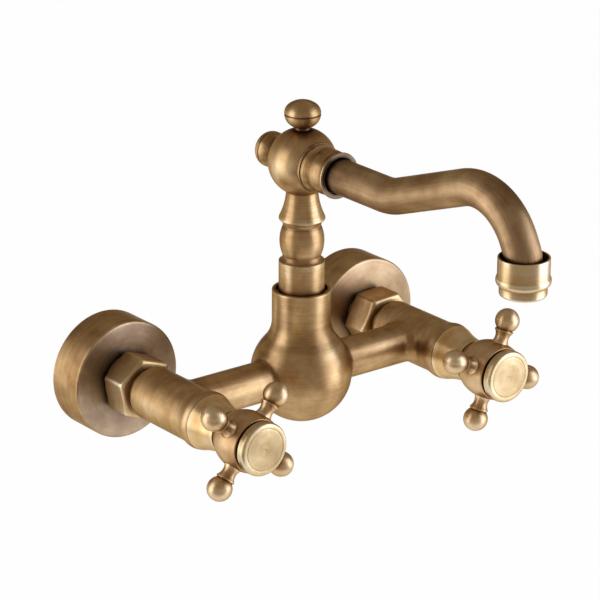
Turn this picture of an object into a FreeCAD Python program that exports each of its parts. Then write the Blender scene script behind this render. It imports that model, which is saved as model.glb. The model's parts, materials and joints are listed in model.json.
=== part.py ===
import FreeCAD, Part
import math
import os
import Sketcher
from types import SimpleNamespace

# Wall-mounted basin mixer with two cross handles and a swivelling spout.
# The origin is midway between the two inlets, on the wall plane. +X is to the right, +Z is up,
# and the mixer stands out from the wall towards -Y. Lengths are millimetres, angles degrees.
# "Out" is the distance from the wall. "Up" is the height above the inlet axes.

sizes = {
    # Whole mixer
    "inlet_spacing": 150,
    "spout_reach": 159.6,
    "thread_clearance": 0.05,
    "running_clearance": 0.1,
    "moving_gap": 0.3,
    "film": 0.05,
    "overrun": 1,
    # Wall union, a half inch tail and a three quarter inch front
    "tail_r": 10.48,
    "tail_length": 22,
    "tail_root_out": 2,
    "union_bore_r": 7,
    "union_shoulder_r": 11.9,
    "union_thread_r": 13.22,
    "union_thread_out": 10,
    # Wall flange
    "flange_r": 29.7,
    "flange_depth": 20.5,
    "flange_wall": 1.5,
    "flange_edge_round": 1.2,
    # Union nut, washer and inlet nipple
    "nut_gap": 3.3,
    "nut_length": 14.2,
    "nut_wall": 1.13,
    "nut_lip_thick": 2.6,
    "nut_lip_grip": 1.57,
    "nut_face_share": 1.1,
    "nut_bevel_share": 0.6,
    "hot_nut_clock": 40,
    "cold_nut_clock": 63,
    "washer_thick": 2,
    "nipple_collar_thick": 2.4,
    "nipple_thread_r": 9.9,
    "nipple_thread_length": 9,
    # Valve barrel and cross tube
    "barrel_wall": 2,
    "barrel_gap": 3,
    "cross_offset": 20.8,
    "barrel_back_round": 1.2,
    "barrel_land": 0.1,
    "barrel_flare_length": 7.5,
    "barrel_flare_round": 34,
    "barrel_bead_rise": 1,
    "barrel_bead_setback": 3.6,
    "barrel_bead_round": 7,
    "barrel_front_rise": 0.45,
    "cross_tube_r": 10.1,
    "cross_fillet": 5,
    "cross_passage_r": 6.5,
    "inlet_hole_r": 6,
    "chamber_back": 8.3,
    "chamber_front": 8.2,
    "chamber_gap": 1.1,
    # Ceramic headwork
    "seat_seal_thick": 2.7,
    "seat_seal_inset": 0.6,
    "seat_seal_bore_r": 5,
    "disc_r": 8.5,
    "disc_thick": 3,
    "disc_rim": 2,
    "port_inner_r": 2.4,
    "port_half_angle": 38,
    "headwork_wall": 1.4,
    "headwork_thread_step": 0.25,
    "headwork_flange_gap": 0.7,
    "headwork_flange_thick": 2,
    "headwork_nose_wall": 1.7,
    "headwork_nose_setback": 0.8,
    "window_width": 9,
    "driver_thick": 2.75,
    "spindle_r": 4,
    "spline_runout": 1.7,
    "spline_depth": 0.35,
    "spline_teeth": 20,
    "spindle_ring_cord_r": 0.75,
    "spindle_ring_low_share": 0.33,
    "spindle_ring_high_share": 0.47,
    "clip_thick": 0.9,
    "clip_grip": 1.5,
    "clip_depth": 0.7,
    "clip_recess": 2,
    "clip_opening": 50,
    # Bell shroud
    "bell_overhang": 0.15,
    "bell_draw": 3,
    "bell_length": 15.7,
    "bell_neck_length": 2.6,
    "bell_sweep_r": 48,
    "bell_wall": 1.5,
    "bell_web": 2,
    "bell_seam": 0.25,
    # Cross handle
    "spoke_count": 4,
    "hot_handle_clock": 50,
    "cold_handle_clock": 68,
    "hub_gap": 0.5,
    "hub_length": 21,
    "hub_back_r": 10.3,
    "hub_waist_r": 14.5,
    "hub_waist_length": 12.7,
    "hub_front_draw": 1,
    "hub_back_sweep_r": 19,
    "hub_front_sweep_r": 35,
    "hub_edge_round": 0.8,
    "hub_rim": 3,
    "hub_recess_depth": 5.9,
    "hub_web": 3.1,
    "screw_r": 2,
    "screw_hole_clearance": 0.25,
    "screw_head_r": 3.8,
    "screw_head_thick": 2.5,
    "screw_length": 12,
    "screw_slot_width": 1,
    "screw_slot_depth": 1.2,
    "spoke_lead": 0.6,
    "spoke_foot_r": 4.3,
    "spoke_waist_r": 2.65,
    "spoke_thread_r": 2.5,
    "spoke_thread_length": 2.4,
    "spoke_cove_length": 5.95,
    "spoke_ring_thick": 1.2,
    "spoke_ring_r": 4.7,
    "ball_end_root_r": 3.77,
    "ball_end_r": 5.95,
    "cap_step": 0.4,
    "cap_gap": 1.4,
    "cap_thick": 4.2,
    "cap_edge_round": 1.8,
    "cap_wall": 1.9,
    "cap_skirt_length": 5.5,
    "cap_line_inset": 2.83,
    "cap_line_width": 0.7,
    "cap_line_depth": 0.35,
    "cap_dot_r": 0.7,
    # Mixing bulb
    "bulb_r": 25,
    "bulb_wall": 4,
    "neck_rim": 1.9,
    "neck_height": 43.2,
    "neck_blend_r": 15,
    "neck_rim_bevel": 0.9,
    "neck_gap": 1.35,
    "neck_recess_depth": 4.2,
    "swivel_bore_r": 10.6,
    "swivel_washer_thick": 1.2,
    # Pillar
    "water_bore_r": 5.5,
    "stem_toe": 1.1,
    "snap_drop": 2.4,
    "snap_thick": 1.2,
    "snap_depth": 1.2,
    "snap_grip": 1,
    "snap_opening": 40,
    "swivel_ring_cord_r": 0.9,
    "swivel_ring_low_share": 0.33,
    "swivel_ring_high_share": 0.64,
    "pillar_collar_step": 0.65,
    "pillar_collar_height": 14.5,
    "pillar_cove_depth": 1.95,
    "pillar_cove_height": 2.7,
    "pillar_cove_sweep_r": 2.9,
    "pillar_bulge_rise": 1.6,
    "pillar_bulge_height": 15.3,
    "pillar_groove_depth": 1.7,
    "pillar_lip_overhang": 2.1,
    "pillar_lip_height": 3.2,
    "pillar_lip_thick": 0.9,
    "pillar_lip_sweep_r": 5,
    "pillar_top_r": 7.75,
    "pillar_cone_height": 13.1,
    "pillar_cone_sweep_r": 34,
    "pillar_spigot_step": 0.75,
    "pillar_spigot_length": 4,
    # Ball head and finials
    "ball_r": 16.7,
    "ball_wall": 3.5,
    "finial_neck_r": 3.8,
    "finial_thread_r": 3,
    "finial_thread_length": 4,
    "finial_neck_length": 1.1,
    "finial_r": 8.85,
    "finial_under_height": 7.6,
    "finial_shoulder_r": 5.2,
    "finial_shoulder_turn": 55,
    "finial_under_sweep_r": 7,
    "finial_line_width": 0.8,
    "finial_line_depth": 0.45,
    # Spout collar, tube and nose
    "collar_ring_thick": 3.3,
    "collar_line_width": 0.5,
    "collar_line_depth": 0.5,
    "collar_wall": 1.85,
    "collar_second_step": 1.3,
    "collar_first_step": 0.3,
    "collar_cove_length": 2.4,
    "collar_band_length": 7.8,
    "collar_band_sweep_r": 14,
    "collar_lip_wall": 1.7,
    "collar_lip_sweep_r": 5,
    "collar_lip_length": 4,
    "collar_lip_round": 0.9,
    "collar_recess_gap": 1.1,
    "collar_recess_depth": 3,
    "tube_r": 8.6,
    "tube_wall": 1.2,
    "tube_engage": 1.2,
    "first_bend_out": 67.5,
    "rise_angle": 19.7,
    "dive_angle": 62.5,
    "dive_straight": 4.2,
    "first_bend_r": 32,
    "crest_bend_r": 31,
    "end_bend_r": 16.6,
    "tube_end_straight": 4.35,
    "nose_wall": 2.25,
    "nose_length": 4.2,
    # Aerator, measured from the end of the tube
    "aerator_wall": 0.95,
    "aerator_rim_gap": 0.27,
    "aerator_rim_bevel": 0.4,
    "aerator_bead_top": 2,
    "aerator_bead_foot": 4.4,
    "aerator_bead_sweep_r": 4.6,
    "aerator_foot_draw": 1.1,
    "aerator_foot_drop": 8.4,
    "aerator_foot_round": 1.5,
    "aerator_ledge": 2,
    "aerator_washer_thick": 1.5,
    "insert_flange_thick": 1.5,
    "insert_depth": 3.4,
    "insert_hole_r": 0.8,
    "insert_outer_ring_r": 7.2,
    "insert_inner_ring_r": 3.6,
    "insert_outer_holes": 14,
    "insert_inner_holes": 7,
}

doc = FreeCAD.newDocument("BasinMixer")
sheet = doc.addObject("Spreadsheet::Sheet", "Sizes")
for row, (name, number) in enumerate(sizes.items(), 1):
    sheet.set(f"A{row}", name)
    sheet.set(f"B{row}", str(number))
    sheet.setAlias(f"B{row}", name)
doc.recompute()


class Size:
    """A number together with the sheet expression that it comes from."""

    def __init__(self, value, text):
        self.value = value
        self.text = text

    def __add__(self, other):
        other = as_size(other)
        return Size(self.value + other.value, f"({self.text} + {other.text})")

    def __sub__(self, other):
        other = as_size(other)
        return Size(self.value - other.value, f"({self.text} - {other.text})")

    def __mul__(self, other):
        other = as_size(other)
        return Size(self.value * other.value, f"({self.text} * {other.text})")

    def __truediv__(self, other):
        other = as_size(other)
        return Size(self.value / other.value, f"({self.text} / {other.text})")

    def __neg__(self):
        return Size(-self.value, f"(-1 * {self.text})")


def as_size(thing):
    return thing if isinstance(thing, Size) else Size(thing, str(thing))


def root(size):
    return Size(math.sqrt(size.value), f"sqrt({size.text})")


def cosine(angle):
    return Size(math.cos(math.radians(angle.value)), f"cos({angle.text})")


def sine(angle):
    return Size(math.sin(math.radians(angle.value)), f"sin({angle.text})")


def tangent(angle):
    return Size(math.tan(math.radians(angle.value)), f"tan({angle.text})")


def other_leg(long_side, leg):
    """The second short side of a right triangle."""
    return root(long_side * long_side - leg * leg)


def sweep(half_chord, rise):
    """The radius of an arc that rises this far over half its chord."""
    return (half_chord * half_chord + rise * rise) / (rise * 2)


d = SimpleNamespace(**{name: Size(number, f"Sizes.{name}") for name, number in sizes.items()})
full_turn = 360
quarter_turn = 90

# Sketches

right, left = 1, -1


def bow(x, y, radius, side):
    """An arc that ends at x, y and bulges to one side of the way that the outline runs."""
    return (x, y, radius, side)


def sketch_on(body, role, name):
    sketch = body.newObject("Sketcher::SketchObject", name)
    plane = next(part for part in body.Origin.OriginFeatures if part.Role == role)
    sketch.AttachmentSupport = [(plane, "")]
    sketch.MapMode = "FlatFace"
    return sketch


def drive(sketch, constraint, size):
    index = sketch.addConstraint(constraint)
    sketch.setExpression(f"Constraints[{index}]", size.text)


def pin_point(sketch, edge, end, x, y):
    """Hold one point of a sketch edge at x, y."""
    horizontal_axis, vertical_axis, origin = -1, -2, (-1, 1)
    for size, kind, axis in ((x, "DistanceX", vertical_axis), (y, "DistanceY", horizontal_axis)):
        if size.value == 0:
            sketch.addConstraint(Sketcher.Constraint("PointOnObject", edge, end, axis))
        else:
            drive(sketch, Sketcher.Constraint(kind, *origin, edge, end, size.value), size)


def arc_middle(start, finish, radius, side):
    chord = finish - start
    half = chord.Length / 2
    rise = radius - math.sqrt(radius * radius - half * half)
    across = FreeCAD.Vector(chord.y, -chord.x, 0).normalize()
    return (start + finish) * 0.5 + across * (rise * side)


def draw_path(sketch, steps, closed):
    """Draw lines and arcs from step to step, with every corner and radius driven by the sheet."""
    steps = [(as_size(step[0]), as_size(step[1]), *step[2:]) for step in steps]
    corners = [FreeCAD.Vector(step[0].value, step[1].value, 0) for step in steps]
    previous = None
    first = None
    for number in range(0 if closed else 1, len(steps)):
        x, y, *arc = steps[number]
        start, finish = corners[number - 1], corners[number]
        if arc:
            middle = arc_middle(start, finish, arc[0].value, arc[1])
            edge = sketch.addGeometry(Part.Arc(start, middle, finish), False)
            from_start = [sketch.getPoint(edge, end).distanceToPoint(start) for end in (1, 2)]
            begin_end, finish_end = (1, 2) if from_start[0] < from_start[1] else (2, 1)
        else:
            edge = sketch.addGeometry(Part.LineSegment(start, finish), False)
            begin_end, finish_end = 1, 2
        if previous:
            sketch.addConstraint(Sketcher.Constraint("Coincident", *previous, edge, begin_end))
        else:
            first = (edge, begin_end)
            if not closed:
                pin_point(sketch, edge, begin_end, *steps[0][:2])
        pin_point(sketch, edge, finish_end, x, y)
        if arc:
            drive(sketch, Sketcher.Constraint("Radius", edge, arc[0].value), arc[0])
        previous = (edge, finish_end)
    if closed:
        sketch.addConstraint(Sketcher.Constraint("Coincident", *previous, *first))


def draw_circle(sketch, x, y, radius):
    x, y = as_size(x), as_size(y)
    centre = FreeCAD.Vector(x.value, y.value, 0)
    edge = sketch.addGeometry(Part.Circle(centre, FreeCAD.Vector(0, 0, 1), radius.value), False)
    if x.value == 0 and y.value == 0:
        sketch.addConstraint(Sketcher.Constraint("Coincident", edge, 3, -1, 1))
    else:
        pin_point(sketch, edge, 3, x, y)
    drive(sketch, Sketcher.Constraint("Radius", edge, radius.value), radius)


# Features

parts = []


def new_body(label):
    body = doc.addObject("PartDesign::Body", label)
    body.Label = label
    parts.append(body)
    return body


def turned(label, outline, opening=None):
    """A piece turned about its own Z axis from an outline of radius and height."""
    body = new_body(label)
    sketch = sketch_on(body, "XZ_Plane", label + "_outline")
    draw_path(sketch, outline, closed=True)
    turn = body.newObject("PartDesign::Revolution", label + "_turn")
    turn.Profile = sketch
    turn.ReferenceAxis = (sketch, ["V_Axis"])
    if opening:
        turn.setExpression("Angle", f"{full_turn} - {opening.text}")
    else:
        turn.Angle = full_turn
    doc.recompute()
    return body


def checked_cut(body, feature):
    """Recompute, and stop if the cut took nothing away."""
    before = body.Shape.Volume
    doc.recompute()
    if not body.Shape.Volume < before:
        raise RuntimeError(f"{feature.Label} cut nothing")


def bore_out(body, outline):
    """Turn a hollow out of a body."""
    name = body.Label + "_bore"
    sketch = sketch_on(body, "XZ_Plane", name + "_outline")
    draw_path(sketch, outline, closed=True)
    groove = body.newObject("PartDesign::Groove", name)
    groove.Profile = sketch
    groove.ReferenceAxis = (sketch, ["V_Axis"])
    groove.Angle = full_turn
    checked_cut(body, groove)


def pocket(body, sketch, name, length=None, forward=False, both_ways=False):
    cut = body.newObject("PartDesign::Pocket", name)
    cut.Profile = sketch
    if both_ways:
        cut.SideType = "Symmetric"
    cut.Reversed = forward
    if length:
        cut.setExpression("Length", length.text)
    else:
        cut.Type = "ThroughAll"
    checked_cut(body, cut)
    return cut


def around(body, feature, count):
    """Repeat a feature round the body's own Z axis."""
    pattern = body.newObject("PartDesign::PolarPattern", feature.Label + "_ring")
    axis = next(part for part in body.Origin.OriginFeatures if part.Role == "Z_Axis")
    pattern.Originals = [feature]
    pattern.Axis = (axis, [""])
    pattern.Angle = full_turn
    pattern.setExpression("Occurrences", count.text)
    body.Tip = pattern
    doc.recompute()


def shift(sketch, distance):
    """Lift a sketch off its plane."""
    sketch.setExpression("AttachmentOffset.Base.z", distance.text)


upright = FreeCAD.Rotation()
to_front = FreeCAD.Rotation(FreeCAD.Vector(1, 0, 0), quarter_turn)
to_back = FreeCAD.Rotation(FreeCAD.Vector(1, 0, 0), -quarter_turn)


def turned_by(angle):
    return FreeCAD.Rotation(FreeCAD.Vector(0, 0, 1), angle)


def place(piece, x, y, z, rotation=upright):
    sizes_xyz = [as_size(value) for value in (x, y, z)]
    piece.Placement = FreeCAD.Placement(FreeCAD.Vector(*[size.value for size in sizes_xyz]), rotation)
    for axis, size in zip("xyz", sizes_xyz):
        piece.setExpression(f"Placement.Base.{axis}", size.text)


def rings(label, ring_r, cord_r, heights):
    """Rubber rings on one axis, as separate solids of one piece."""
    group = doc.addObject("Part::Compound", label)
    group.Label = label
    links = []
    for number, height in enumerate(heights, 1):
        ring = doc.addObject("Part::Torus", f"{label}_{number}")
        ring.setExpression("Radius1", ring_r.text)
        ring.setExpression("Radius2", cord_r.text)
        ring.setExpression("Placement.Base.z", height.text)
        links.append(ring)
    group.Links = links
    parts.append(group)
    return group


# Radii that several pieces share

half_spacing = d.inlet_spacing / 2
nut_bore_r = d.union_thread_r + d.thread_clearance
nut_flat_r = nut_bore_r + d.nut_wall
nipple_collar_r = nut_bore_r - d.moving_gap
nipple_neck_r = nipple_collar_r - d.nut_lip_grip
shell_bore_r = d.disc_r + d.moving_gap
shell_r = shell_bore_r + d.headwork_wall
headwork_thread_r = shell_r + d.headwork_thread_step
chamber_r = shell_r + d.chamber_gap
barrel_r = chamber_r + d.barrel_wall
barrel_front_r = barrel_r + d.barrel_front_rise
bell_base_r = barrel_front_r + d.bell_overhang
bell_neck_r = bell_base_r - d.bell_draw
spindle_bore_r = d.spindle_r + d.running_clearance
spindle_ring_r = d.spindle_r - d.spindle_ring_cord_r
clip_groove_r = d.spindle_r - d.clip_depth
clip_r = d.spindle_r + d.clip_grip
clip_recess_r = clip_r + d.moving_gap
headwork_nose_r = clip_recess_r + d.headwork_nose_wall
screw_hole_r = d.screw_r + d.thread_clearance
hub_front_r = d.hub_waist_r - d.hub_front_draw
hub_recess_r = hub_front_r - d.hub_rim
spoke_seat_r = d.spoke_foot_r + d.moving_gap
spoke_seat = other_leg(d.hub_waist_r, spoke_seat_r)
spoke_root = spoke_seat - d.spoke_thread_length
bulb_cavity_r = d.bulb_r - d.bulb_wall
tube_socket_r = d.cross_tube_r + d.thread_clearance
stem_r = d.swivel_bore_r - d.running_clearance
swivel_ring_r = stem_r - d.swivel_ring_cord_r
pillar_collar_r = d.swivel_bore_r + d.pillar_collar_step
neck_recess_r = pillar_collar_r + d.neck_gap
neck_r = neck_recess_r + d.neck_rim
spigot_r = d.pillar_top_r - d.pillar_spigot_step
ball_cavity_r = d.ball_r - d.ball_wall
tube_bore_r = d.tube_r - d.tube_wall
tube_hole_r = d.tube_r + d.thread_clearance
collar_waist_r = tube_hole_r + d.collar_wall
collar_second_r = collar_waist_r + d.collar_second_step
collar_first_r = collar_second_r + d.collar_first_step
nose_r = tube_hole_r + d.nose_wall
aerator_bore_r = nose_r + d.thread_clearance

# Places on an inlet axis that several pieces share, measured out from the wall

nut_back = d.flange_depth + d.nut_gap
nut_front = nut_back + d.nut_length
nipple_front = nut_front - d.nut_lip_thick
washer_front = nipple_front - d.nipple_collar_thick
union_front = washer_front - d.washer_thick
barrel_back = nut_front + d.barrel_gap
bridge_out = barrel_back + d.cross_offset
flare_start = bridge_out + d.cross_tube_r + d.cross_fillet + d.barrel_land
bead = flare_start + d.barrel_flare_length
barrel_front = bead + d.barrel_bead_setback
seat = bridge_out - d.chamber_back
chamber_end = bridge_out + d.chamber_front
seal_front = seat + d.seat_seal_thick
fixed_disc_front = seal_front + d.disc_thick
turning_disc_back = fixed_disc_front + d.film
turning_disc_front = turning_disc_back + d.disc_thick
driver_front = turning_disc_front + d.driver_thick
bell_front = barrel_front + d.bell_length
headwork_nose = bell_front - d.headwork_nose_setback
headwork_ceiling = driver_front + d.moving_gap
clip_floor = headwork_nose - d.clip_recess
clip_back = clip_floor + d.moving_gap
spindle_bore_length = clip_floor - headwork_ceiling
spindle_rings = [
    headwork_ceiling + spindle_bore_length * share
    for share in (d.spindle_ring_low_share, d.spindle_ring_high_share)
]
hub_back = bell_front + d.hub_gap
hub_front = hub_back + d.hub_length
hub_floor = hub_front - d.hub_recess_depth
socket_end = hub_floor - d.hub_web
spindle_front = socket_end - d.moving_gap
spoke_out = hub_back + d.hub_waist_length + d.spoke_lead
cap_back = hub_front + d.cap_gap
cap_front = cap_back + d.cap_thick

# Heights on the middle axis, above the bulb's centre

neck_floor = d.neck_height - d.neck_recess_depth
collar_foot = neck_floor + d.swivel_washer_thick + d.film
bore_foot = other_leg(bulb_cavity_r, d.swivel_bore_r)
swivel_bore_length = neck_floor - bore_foot
swivel_rings = [
    bore_foot + swivel_bore_length * share
    for share in (d.swivel_ring_low_share, d.swivel_ring_high_share)
]
snap_groove = bore_foot - d.snap_drop
pillar_collar = d.neck_height + d.pillar_collar_height
pillar_cove = pillar_collar + d.pillar_cove_height
pillar_groove = pillar_cove + d.pillar_bulge_height
pillar_lip = pillar_groove + d.pillar_lip_height
pillar_top = pillar_lip + d.pillar_lip_thick + d.pillar_cone_height

# Flats on the ball, measured from its centre

pillar_seat = other_leg(d.ball_r, d.pillar_top_r)
finial_seat = other_leg(d.ball_r, d.finial_neck_r)
collar_seat = other_leg(d.ball_r, collar_first_r)
head_up = pillar_top + pillar_seat


def ring_groove(radius, floor_r, centre, half_width):
    """The four corners of a groove in the side of a turned piece, from the lower edge up."""
    low, high = centre - half_width, centre + half_width
    return [(radius, low), (floor_r, low), (floor_r, high), (radius, high)]


# Inlet side: union, flange, nut, washer and nipple

def make_wall_union(label):
    return turned(label, [
        (d.union_bore_r, -d.tail_length),
        (d.tail_r, -d.tail_length),
        (d.tail_r, d.tail_root_out),
        (d.union_shoulder_r, d.tail_root_out),
        (d.union_shoulder_r, d.union_thread_out),
        (d.union_thread_r, d.union_thread_out),
        (d.union_thread_r, union_front),
        (d.union_bore_r, union_front),
    ])


def make_wall_flange(label):
    inside_r = d.flange_r - d.flange_wall
    plate_back = d.flange_depth - d.flange_wall
    hole_r = d.union_thread_r + d.thread_clearance
    return turned(label, [
        (inside_r, 0),
        (d.flange_r, 0),
        (d.flange_r, d.flange_depth - d.flange_edge_round),
        bow(d.flange_r - d.flange_edge_round, d.flange_depth, d.flange_edge_round, right),
        (hole_r, d.flange_depth),
        (hole_r, plate_back),
        (inside_r, plate_back),
    ])


def make_union_nut(label):
    corner_r = nut_flat_r * 2 / root(as_size(3))
    face_r = nut_flat_r * d.nut_face_share
    bevel = (corner_r - face_r) * d.nut_bevel_share
    lip_r = nipple_neck_r + d.thread_clearance
    body = turned(label, [
        (nut_bore_r, nut_back),
        (face_r, nut_back),
        (corner_r, nut_back + bevel),
        (corner_r, nut_front - bevel),
        (face_r, nut_front),
        (lip_r, nut_front),
        (lip_r, nipple_front),
        (nut_bore_r, nipple_front),
    ])
    flats = sketch_on(body, "XY_Plane", label + "_flats")
    half_side = corner_r / 2
    hexagon = [
        (corner_r, 0), (half_side, nut_flat_r), (-half_side, nut_flat_r),
        (-corner_r, 0), (-half_side, -nut_flat_r), (half_side, -nut_flat_r),
    ]
    draw_path(flats, hexagon, closed=True)
    draw_circle(flats, 0, 0, corner_r + d.overrun)
    pocket(body, flats, label + "_sides", nut_front + d.overrun, forward=True)
    return body


def make_washer(label, bore_r, outer_r, bottom, top):
    return turned(label, [(bore_r, bottom), (outer_r, bottom), (outer_r, top), (bore_r, top)])


def make_inlet_nipple(label):
    thread_end = barrel_back + d.nipple_thread_length
    return turned(label, [
        (d.union_bore_r, washer_front),
        (nipple_collar_r, washer_front),
        (nipple_collar_r, nipple_front),
        (nipple_neck_r, nipple_front),
        (nipple_neck_r, barrel_back),
        (d.nipple_thread_r, barrel_back),
        (d.nipple_thread_r, thread_end),
        (d.union_bore_r, thread_end),
    ])


# Valve arm: barrel and cross tube in one casting

def make_valve_arm(label):
    bead_r = barrel_r + d.barrel_bead_rise
    body = turned(label, [
        (0, barrel_back),
        (barrel_r - d.barrel_back_round, barrel_back),
        bow(barrel_r, barrel_back + d.barrel_back_round, d.barrel_back_round, right),
        (barrel_r, flare_start),
        bow(bead_r, bead, d.barrel_flare_round, left),
        bow(barrel_front_r, barrel_front, d.barrel_bead_round, right),
        (0, barrel_front),
    ])
    tube_length = half_spacing - other_leg(bulb_cavity_r, tube_socket_r)
    tube_outline = sketch_on(body, "YZ_Plane", label + "_tube_outline")
    draw_circle(tube_outline, 0, bridge_out, d.cross_tube_r)
    tube = body.newObject("PartDesign::Pad", label + "_tube")
    tube.Profile = tube_outline
    tube.setExpression("Length", tube_length.text)
    doc.recompute()
    joint = body.newObject("PartDesign::Fillet", label + "_joint")
    meeting = [
        f"Edge{number}" for number, edge in enumerate(tube.Shape.Edges, 1)
        if isinstance(edge.Curve, Part.BSplineCurve)
    ]
    joint.Base = (tube, meeting)
    joint.setExpression("Radius", d.cross_fillet.text)
    doc.recompute()
    socket_r = d.nipple_thread_r + d.thread_clearance
    nipple_end = barrel_back + d.nipple_thread_length
    headwork_r = headwork_thread_r + d.thread_clearance
    bore_out(body, [
        (0, barrel_back - d.overrun),
        (socket_r, barrel_back - d.overrun),
        (socket_r, nipple_end),
        (d.inlet_hole_r, nipple_end),
        (d.inlet_hole_r, seat),
        (chamber_r, seat),
        (chamber_r, chamber_end),
        (headwork_r, chamber_end),
        (headwork_r, barrel_front + d.overrun),
        (0, barrel_front + d.overrun),
    ])
    passage = sketch_on(body, "YZ_Plane", label + "_passage_outline")
    draw_circle(passage, 0, bridge_out, d.cross_passage_r)
    pocket(body, passage, label + "_passage", tube_length + d.overrun, forward=True)
    return body


# Ceramic headwork

def make_disc(label, radius, back):
    body = turned(label, [(0, back), (radius, back), (radius, back + d.disc_thick), (0, back + d.disc_thick)])
    across, along = cosine(d.port_half_angle), sine(d.port_half_angle)
    port_outer_r = d.disc_r - d.disc_rim
    ports = sketch_on(body, "XY_Plane", label + "_ports_outline")
    for way in (1, -1):
        inner_x, outer_x = d.port_inner_r * across * way, port_outer_r * across * way
        inner_y, outer_y = d.port_inner_r * along * way, port_outer_r * along * way
        draw_path(ports, [
            bow(inner_x, -inner_y, d.port_inner_r, left),
            (outer_x, -outer_y),
            bow(outer_x, outer_y, port_outer_r, right),
            (inner_x, inner_y),
        ], closed=True)
    pocket(body, ports, label + "_ports", back + d.disc_thick + d.overrun, forward=True)
    return body


def make_headwork(label):
    flange_r = bell_base_r - d.bell_wall - d.headwork_flange_gap
    flange_front = barrel_front + d.headwork_flange_thick
    body = turned(label, [
        (shell_bore_r, seal_front),
        (shell_r, seal_front),
        (shell_r, chamber_end),
        (headwork_thread_r, chamber_end),
        (headwork_thread_r, barrel_front),
        (flange_r, barrel_front),
        (flange_r, flange_front),
        (headwork_nose_r, flange_front),
        (headwork_nose_r, headwork_nose),
        (clip_recess_r, headwork_nose),
        (clip_recess_r, clip_floor),
        (spindle_bore_r, clip_floor),
        (spindle_bore_r, headwork_ceiling),
        (shell_bore_r, headwork_ceiling),
    ])
    half = d.window_width / 2
    windows = sketch_on(body, "XZ_Plane", label + "_windows_outline")
    window_back = turning_disc_back + d.moving_gap
    draw_path(windows, [
        (-half, window_back), (half, window_back), (half, headwork_ceiling), (-half, headwork_ceiling),
    ], closed=True)
    pocket(body, windows, label + "_windows", both_ways=True)
    return body


def make_spindle(label):
    driver_r = d.disc_r - d.running_clearance
    ring_floor_r = d.spindle_r - d.spindle_ring_cord_r * 2 - d.film
    ring_half = d.spindle_ring_cord_r + d.film
    clip_middle = clip_back + d.clip_thick / 2
    clip_half = d.clip_thick / 2 + d.film
    hole_floor = hub_floor - d.screw_length - d.overrun
    grooves = []
    for centre in spindle_rings:
        grooves += ring_groove(d.spindle_r, ring_floor_r, centre, ring_half)
    grooves += ring_groove(d.spindle_r, clip_groove_r - d.film, clip_middle, clip_half)
    body = turned(label, [
        (0, turning_disc_front),
        (driver_r, turning_disc_front),
        (driver_r, driver_front),
        (d.spindle_r, driver_front),
        *grooves,
        (d.spindle_r, spindle_front),
        (screw_hole_r, spindle_front),
        (screw_hole_r, hole_floor),
        (0, hole_floor),
    ])
    notch = sketch_on(body, "XY_Plane", label + "_notch_outline")
    shift(notch, spindle_front + d.overrun)
    floor_r, mouth_r = d.spindle_r - d.spline_depth, d.spindle_r + d.spline_depth
    draw_path(notch, [(floor_r, 0), (mouth_r, -d.spline_depth), (mouth_r, d.spline_depth)], closed=True)
    spline_length = spindle_front - hub_back - d.spline_runout
    cut = pocket(body, notch, label + "_notch", spline_length + d.overrun)
    around(body, cut, d.spline_teeth)
    return body


def make_spindle_clip(label):
    front = clip_back + d.clip_thick
    outline = [(clip_groove_r, clip_back), (clip_r, clip_back), (clip_r, front), (clip_groove_r, front)]
    return turned(label, outline, opening=d.clip_opening)


def make_bell_shroud(label):
    base = barrel_front + d.bell_seam
    web_back = bell_front - d.bell_web
    nose_hole_r = headwork_nose_r + d.thread_clearance
    return turned(label, [
        (bell_base_r, base),
        bow(bell_neck_r, bell_front - d.bell_neck_length, d.bell_sweep_r, left),
        (bell_neck_r, bell_front),
        (nose_hole_r, bell_front),
        (nose_hole_r, web_back),
        (bell_neck_r - d.bell_wall, web_back),
        bow(bell_base_r - d.bell_wall, base, d.bell_sweep_r, right),
    ])


# Cross handle

def make_handle_hub(label):
    socket_r = d.spindle_r + d.thread_clearance
    through_r = d.screw_r + d.screw_hole_clearance
    edge = d.hub_edge_round
    body = turned(label, [
        (socket_r, hub_back),
        (d.hub_back_r, hub_back),
        bow(d.hub_waist_r, hub_back + d.hub_waist_length, d.hub_back_sweep_r, right),
        bow(hub_front_r, hub_front - edge, d.hub_front_sweep_r, right),
        bow(hub_front_r - edge, hub_front, edge, right),
        (hub_recess_r, hub_front),
        (hub_recess_r, hub_floor),
        (through_r, hub_floor),
        (through_r, socket_end),
        (socket_r, socket_end),
    ])
    hole_floor = spoke_root - d.film
    hole_r = d.spoke_thread_r + d.thread_clearance
    for name, depth, radius in (("seat", spoke_seat, spoke_seat_r), ("hole", hole_floor, hole_r)):
        sketch = sketch_on(body, "YZ_Plane", f"{label}_{name}_outline")
        shift(sketch, depth)
        draw_circle(sketch, 0, spoke_out, radius)
        cut = pocket(body, sketch, f"{label}_{name}", d.hub_waist_r, forward=True)
        around(body, cut, d.spoke_count)
    return body


def make_spoke(label):
    cove_r = sweep(d.spoke_cove_length / 2, d.spoke_foot_r - d.spoke_waist_r)
    ring_start = spoke_seat + d.spoke_cove_length
    ring_middle = ring_start + d.spoke_ring_thick / 2
    ring_end = ring_start + d.spoke_ring_thick
    ball_centre = ring_end + other_leg(d.ball_end_r, d.ball_end_root_r)
    return turned(label, [
        (0, spoke_root),
        (d.spoke_thread_r, spoke_root),
        (d.spoke_thread_r, spoke_seat),
        (d.spoke_foot_r, spoke_seat),
        bow(d.spoke_foot_r, ring_start, cove_r, left),
        bow(d.spoke_ring_r, ring_middle, d.spoke_ring_thick, right),
        bow(d.ball_end_root_r, ring_end, d.spoke_ring_thick, right),
        bow(d.ball_end_r, ball_centre, d.ball_end_r, right),
        bow(0, ball_centre + d.ball_end_r, d.ball_end_r, right),
    ])


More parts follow.
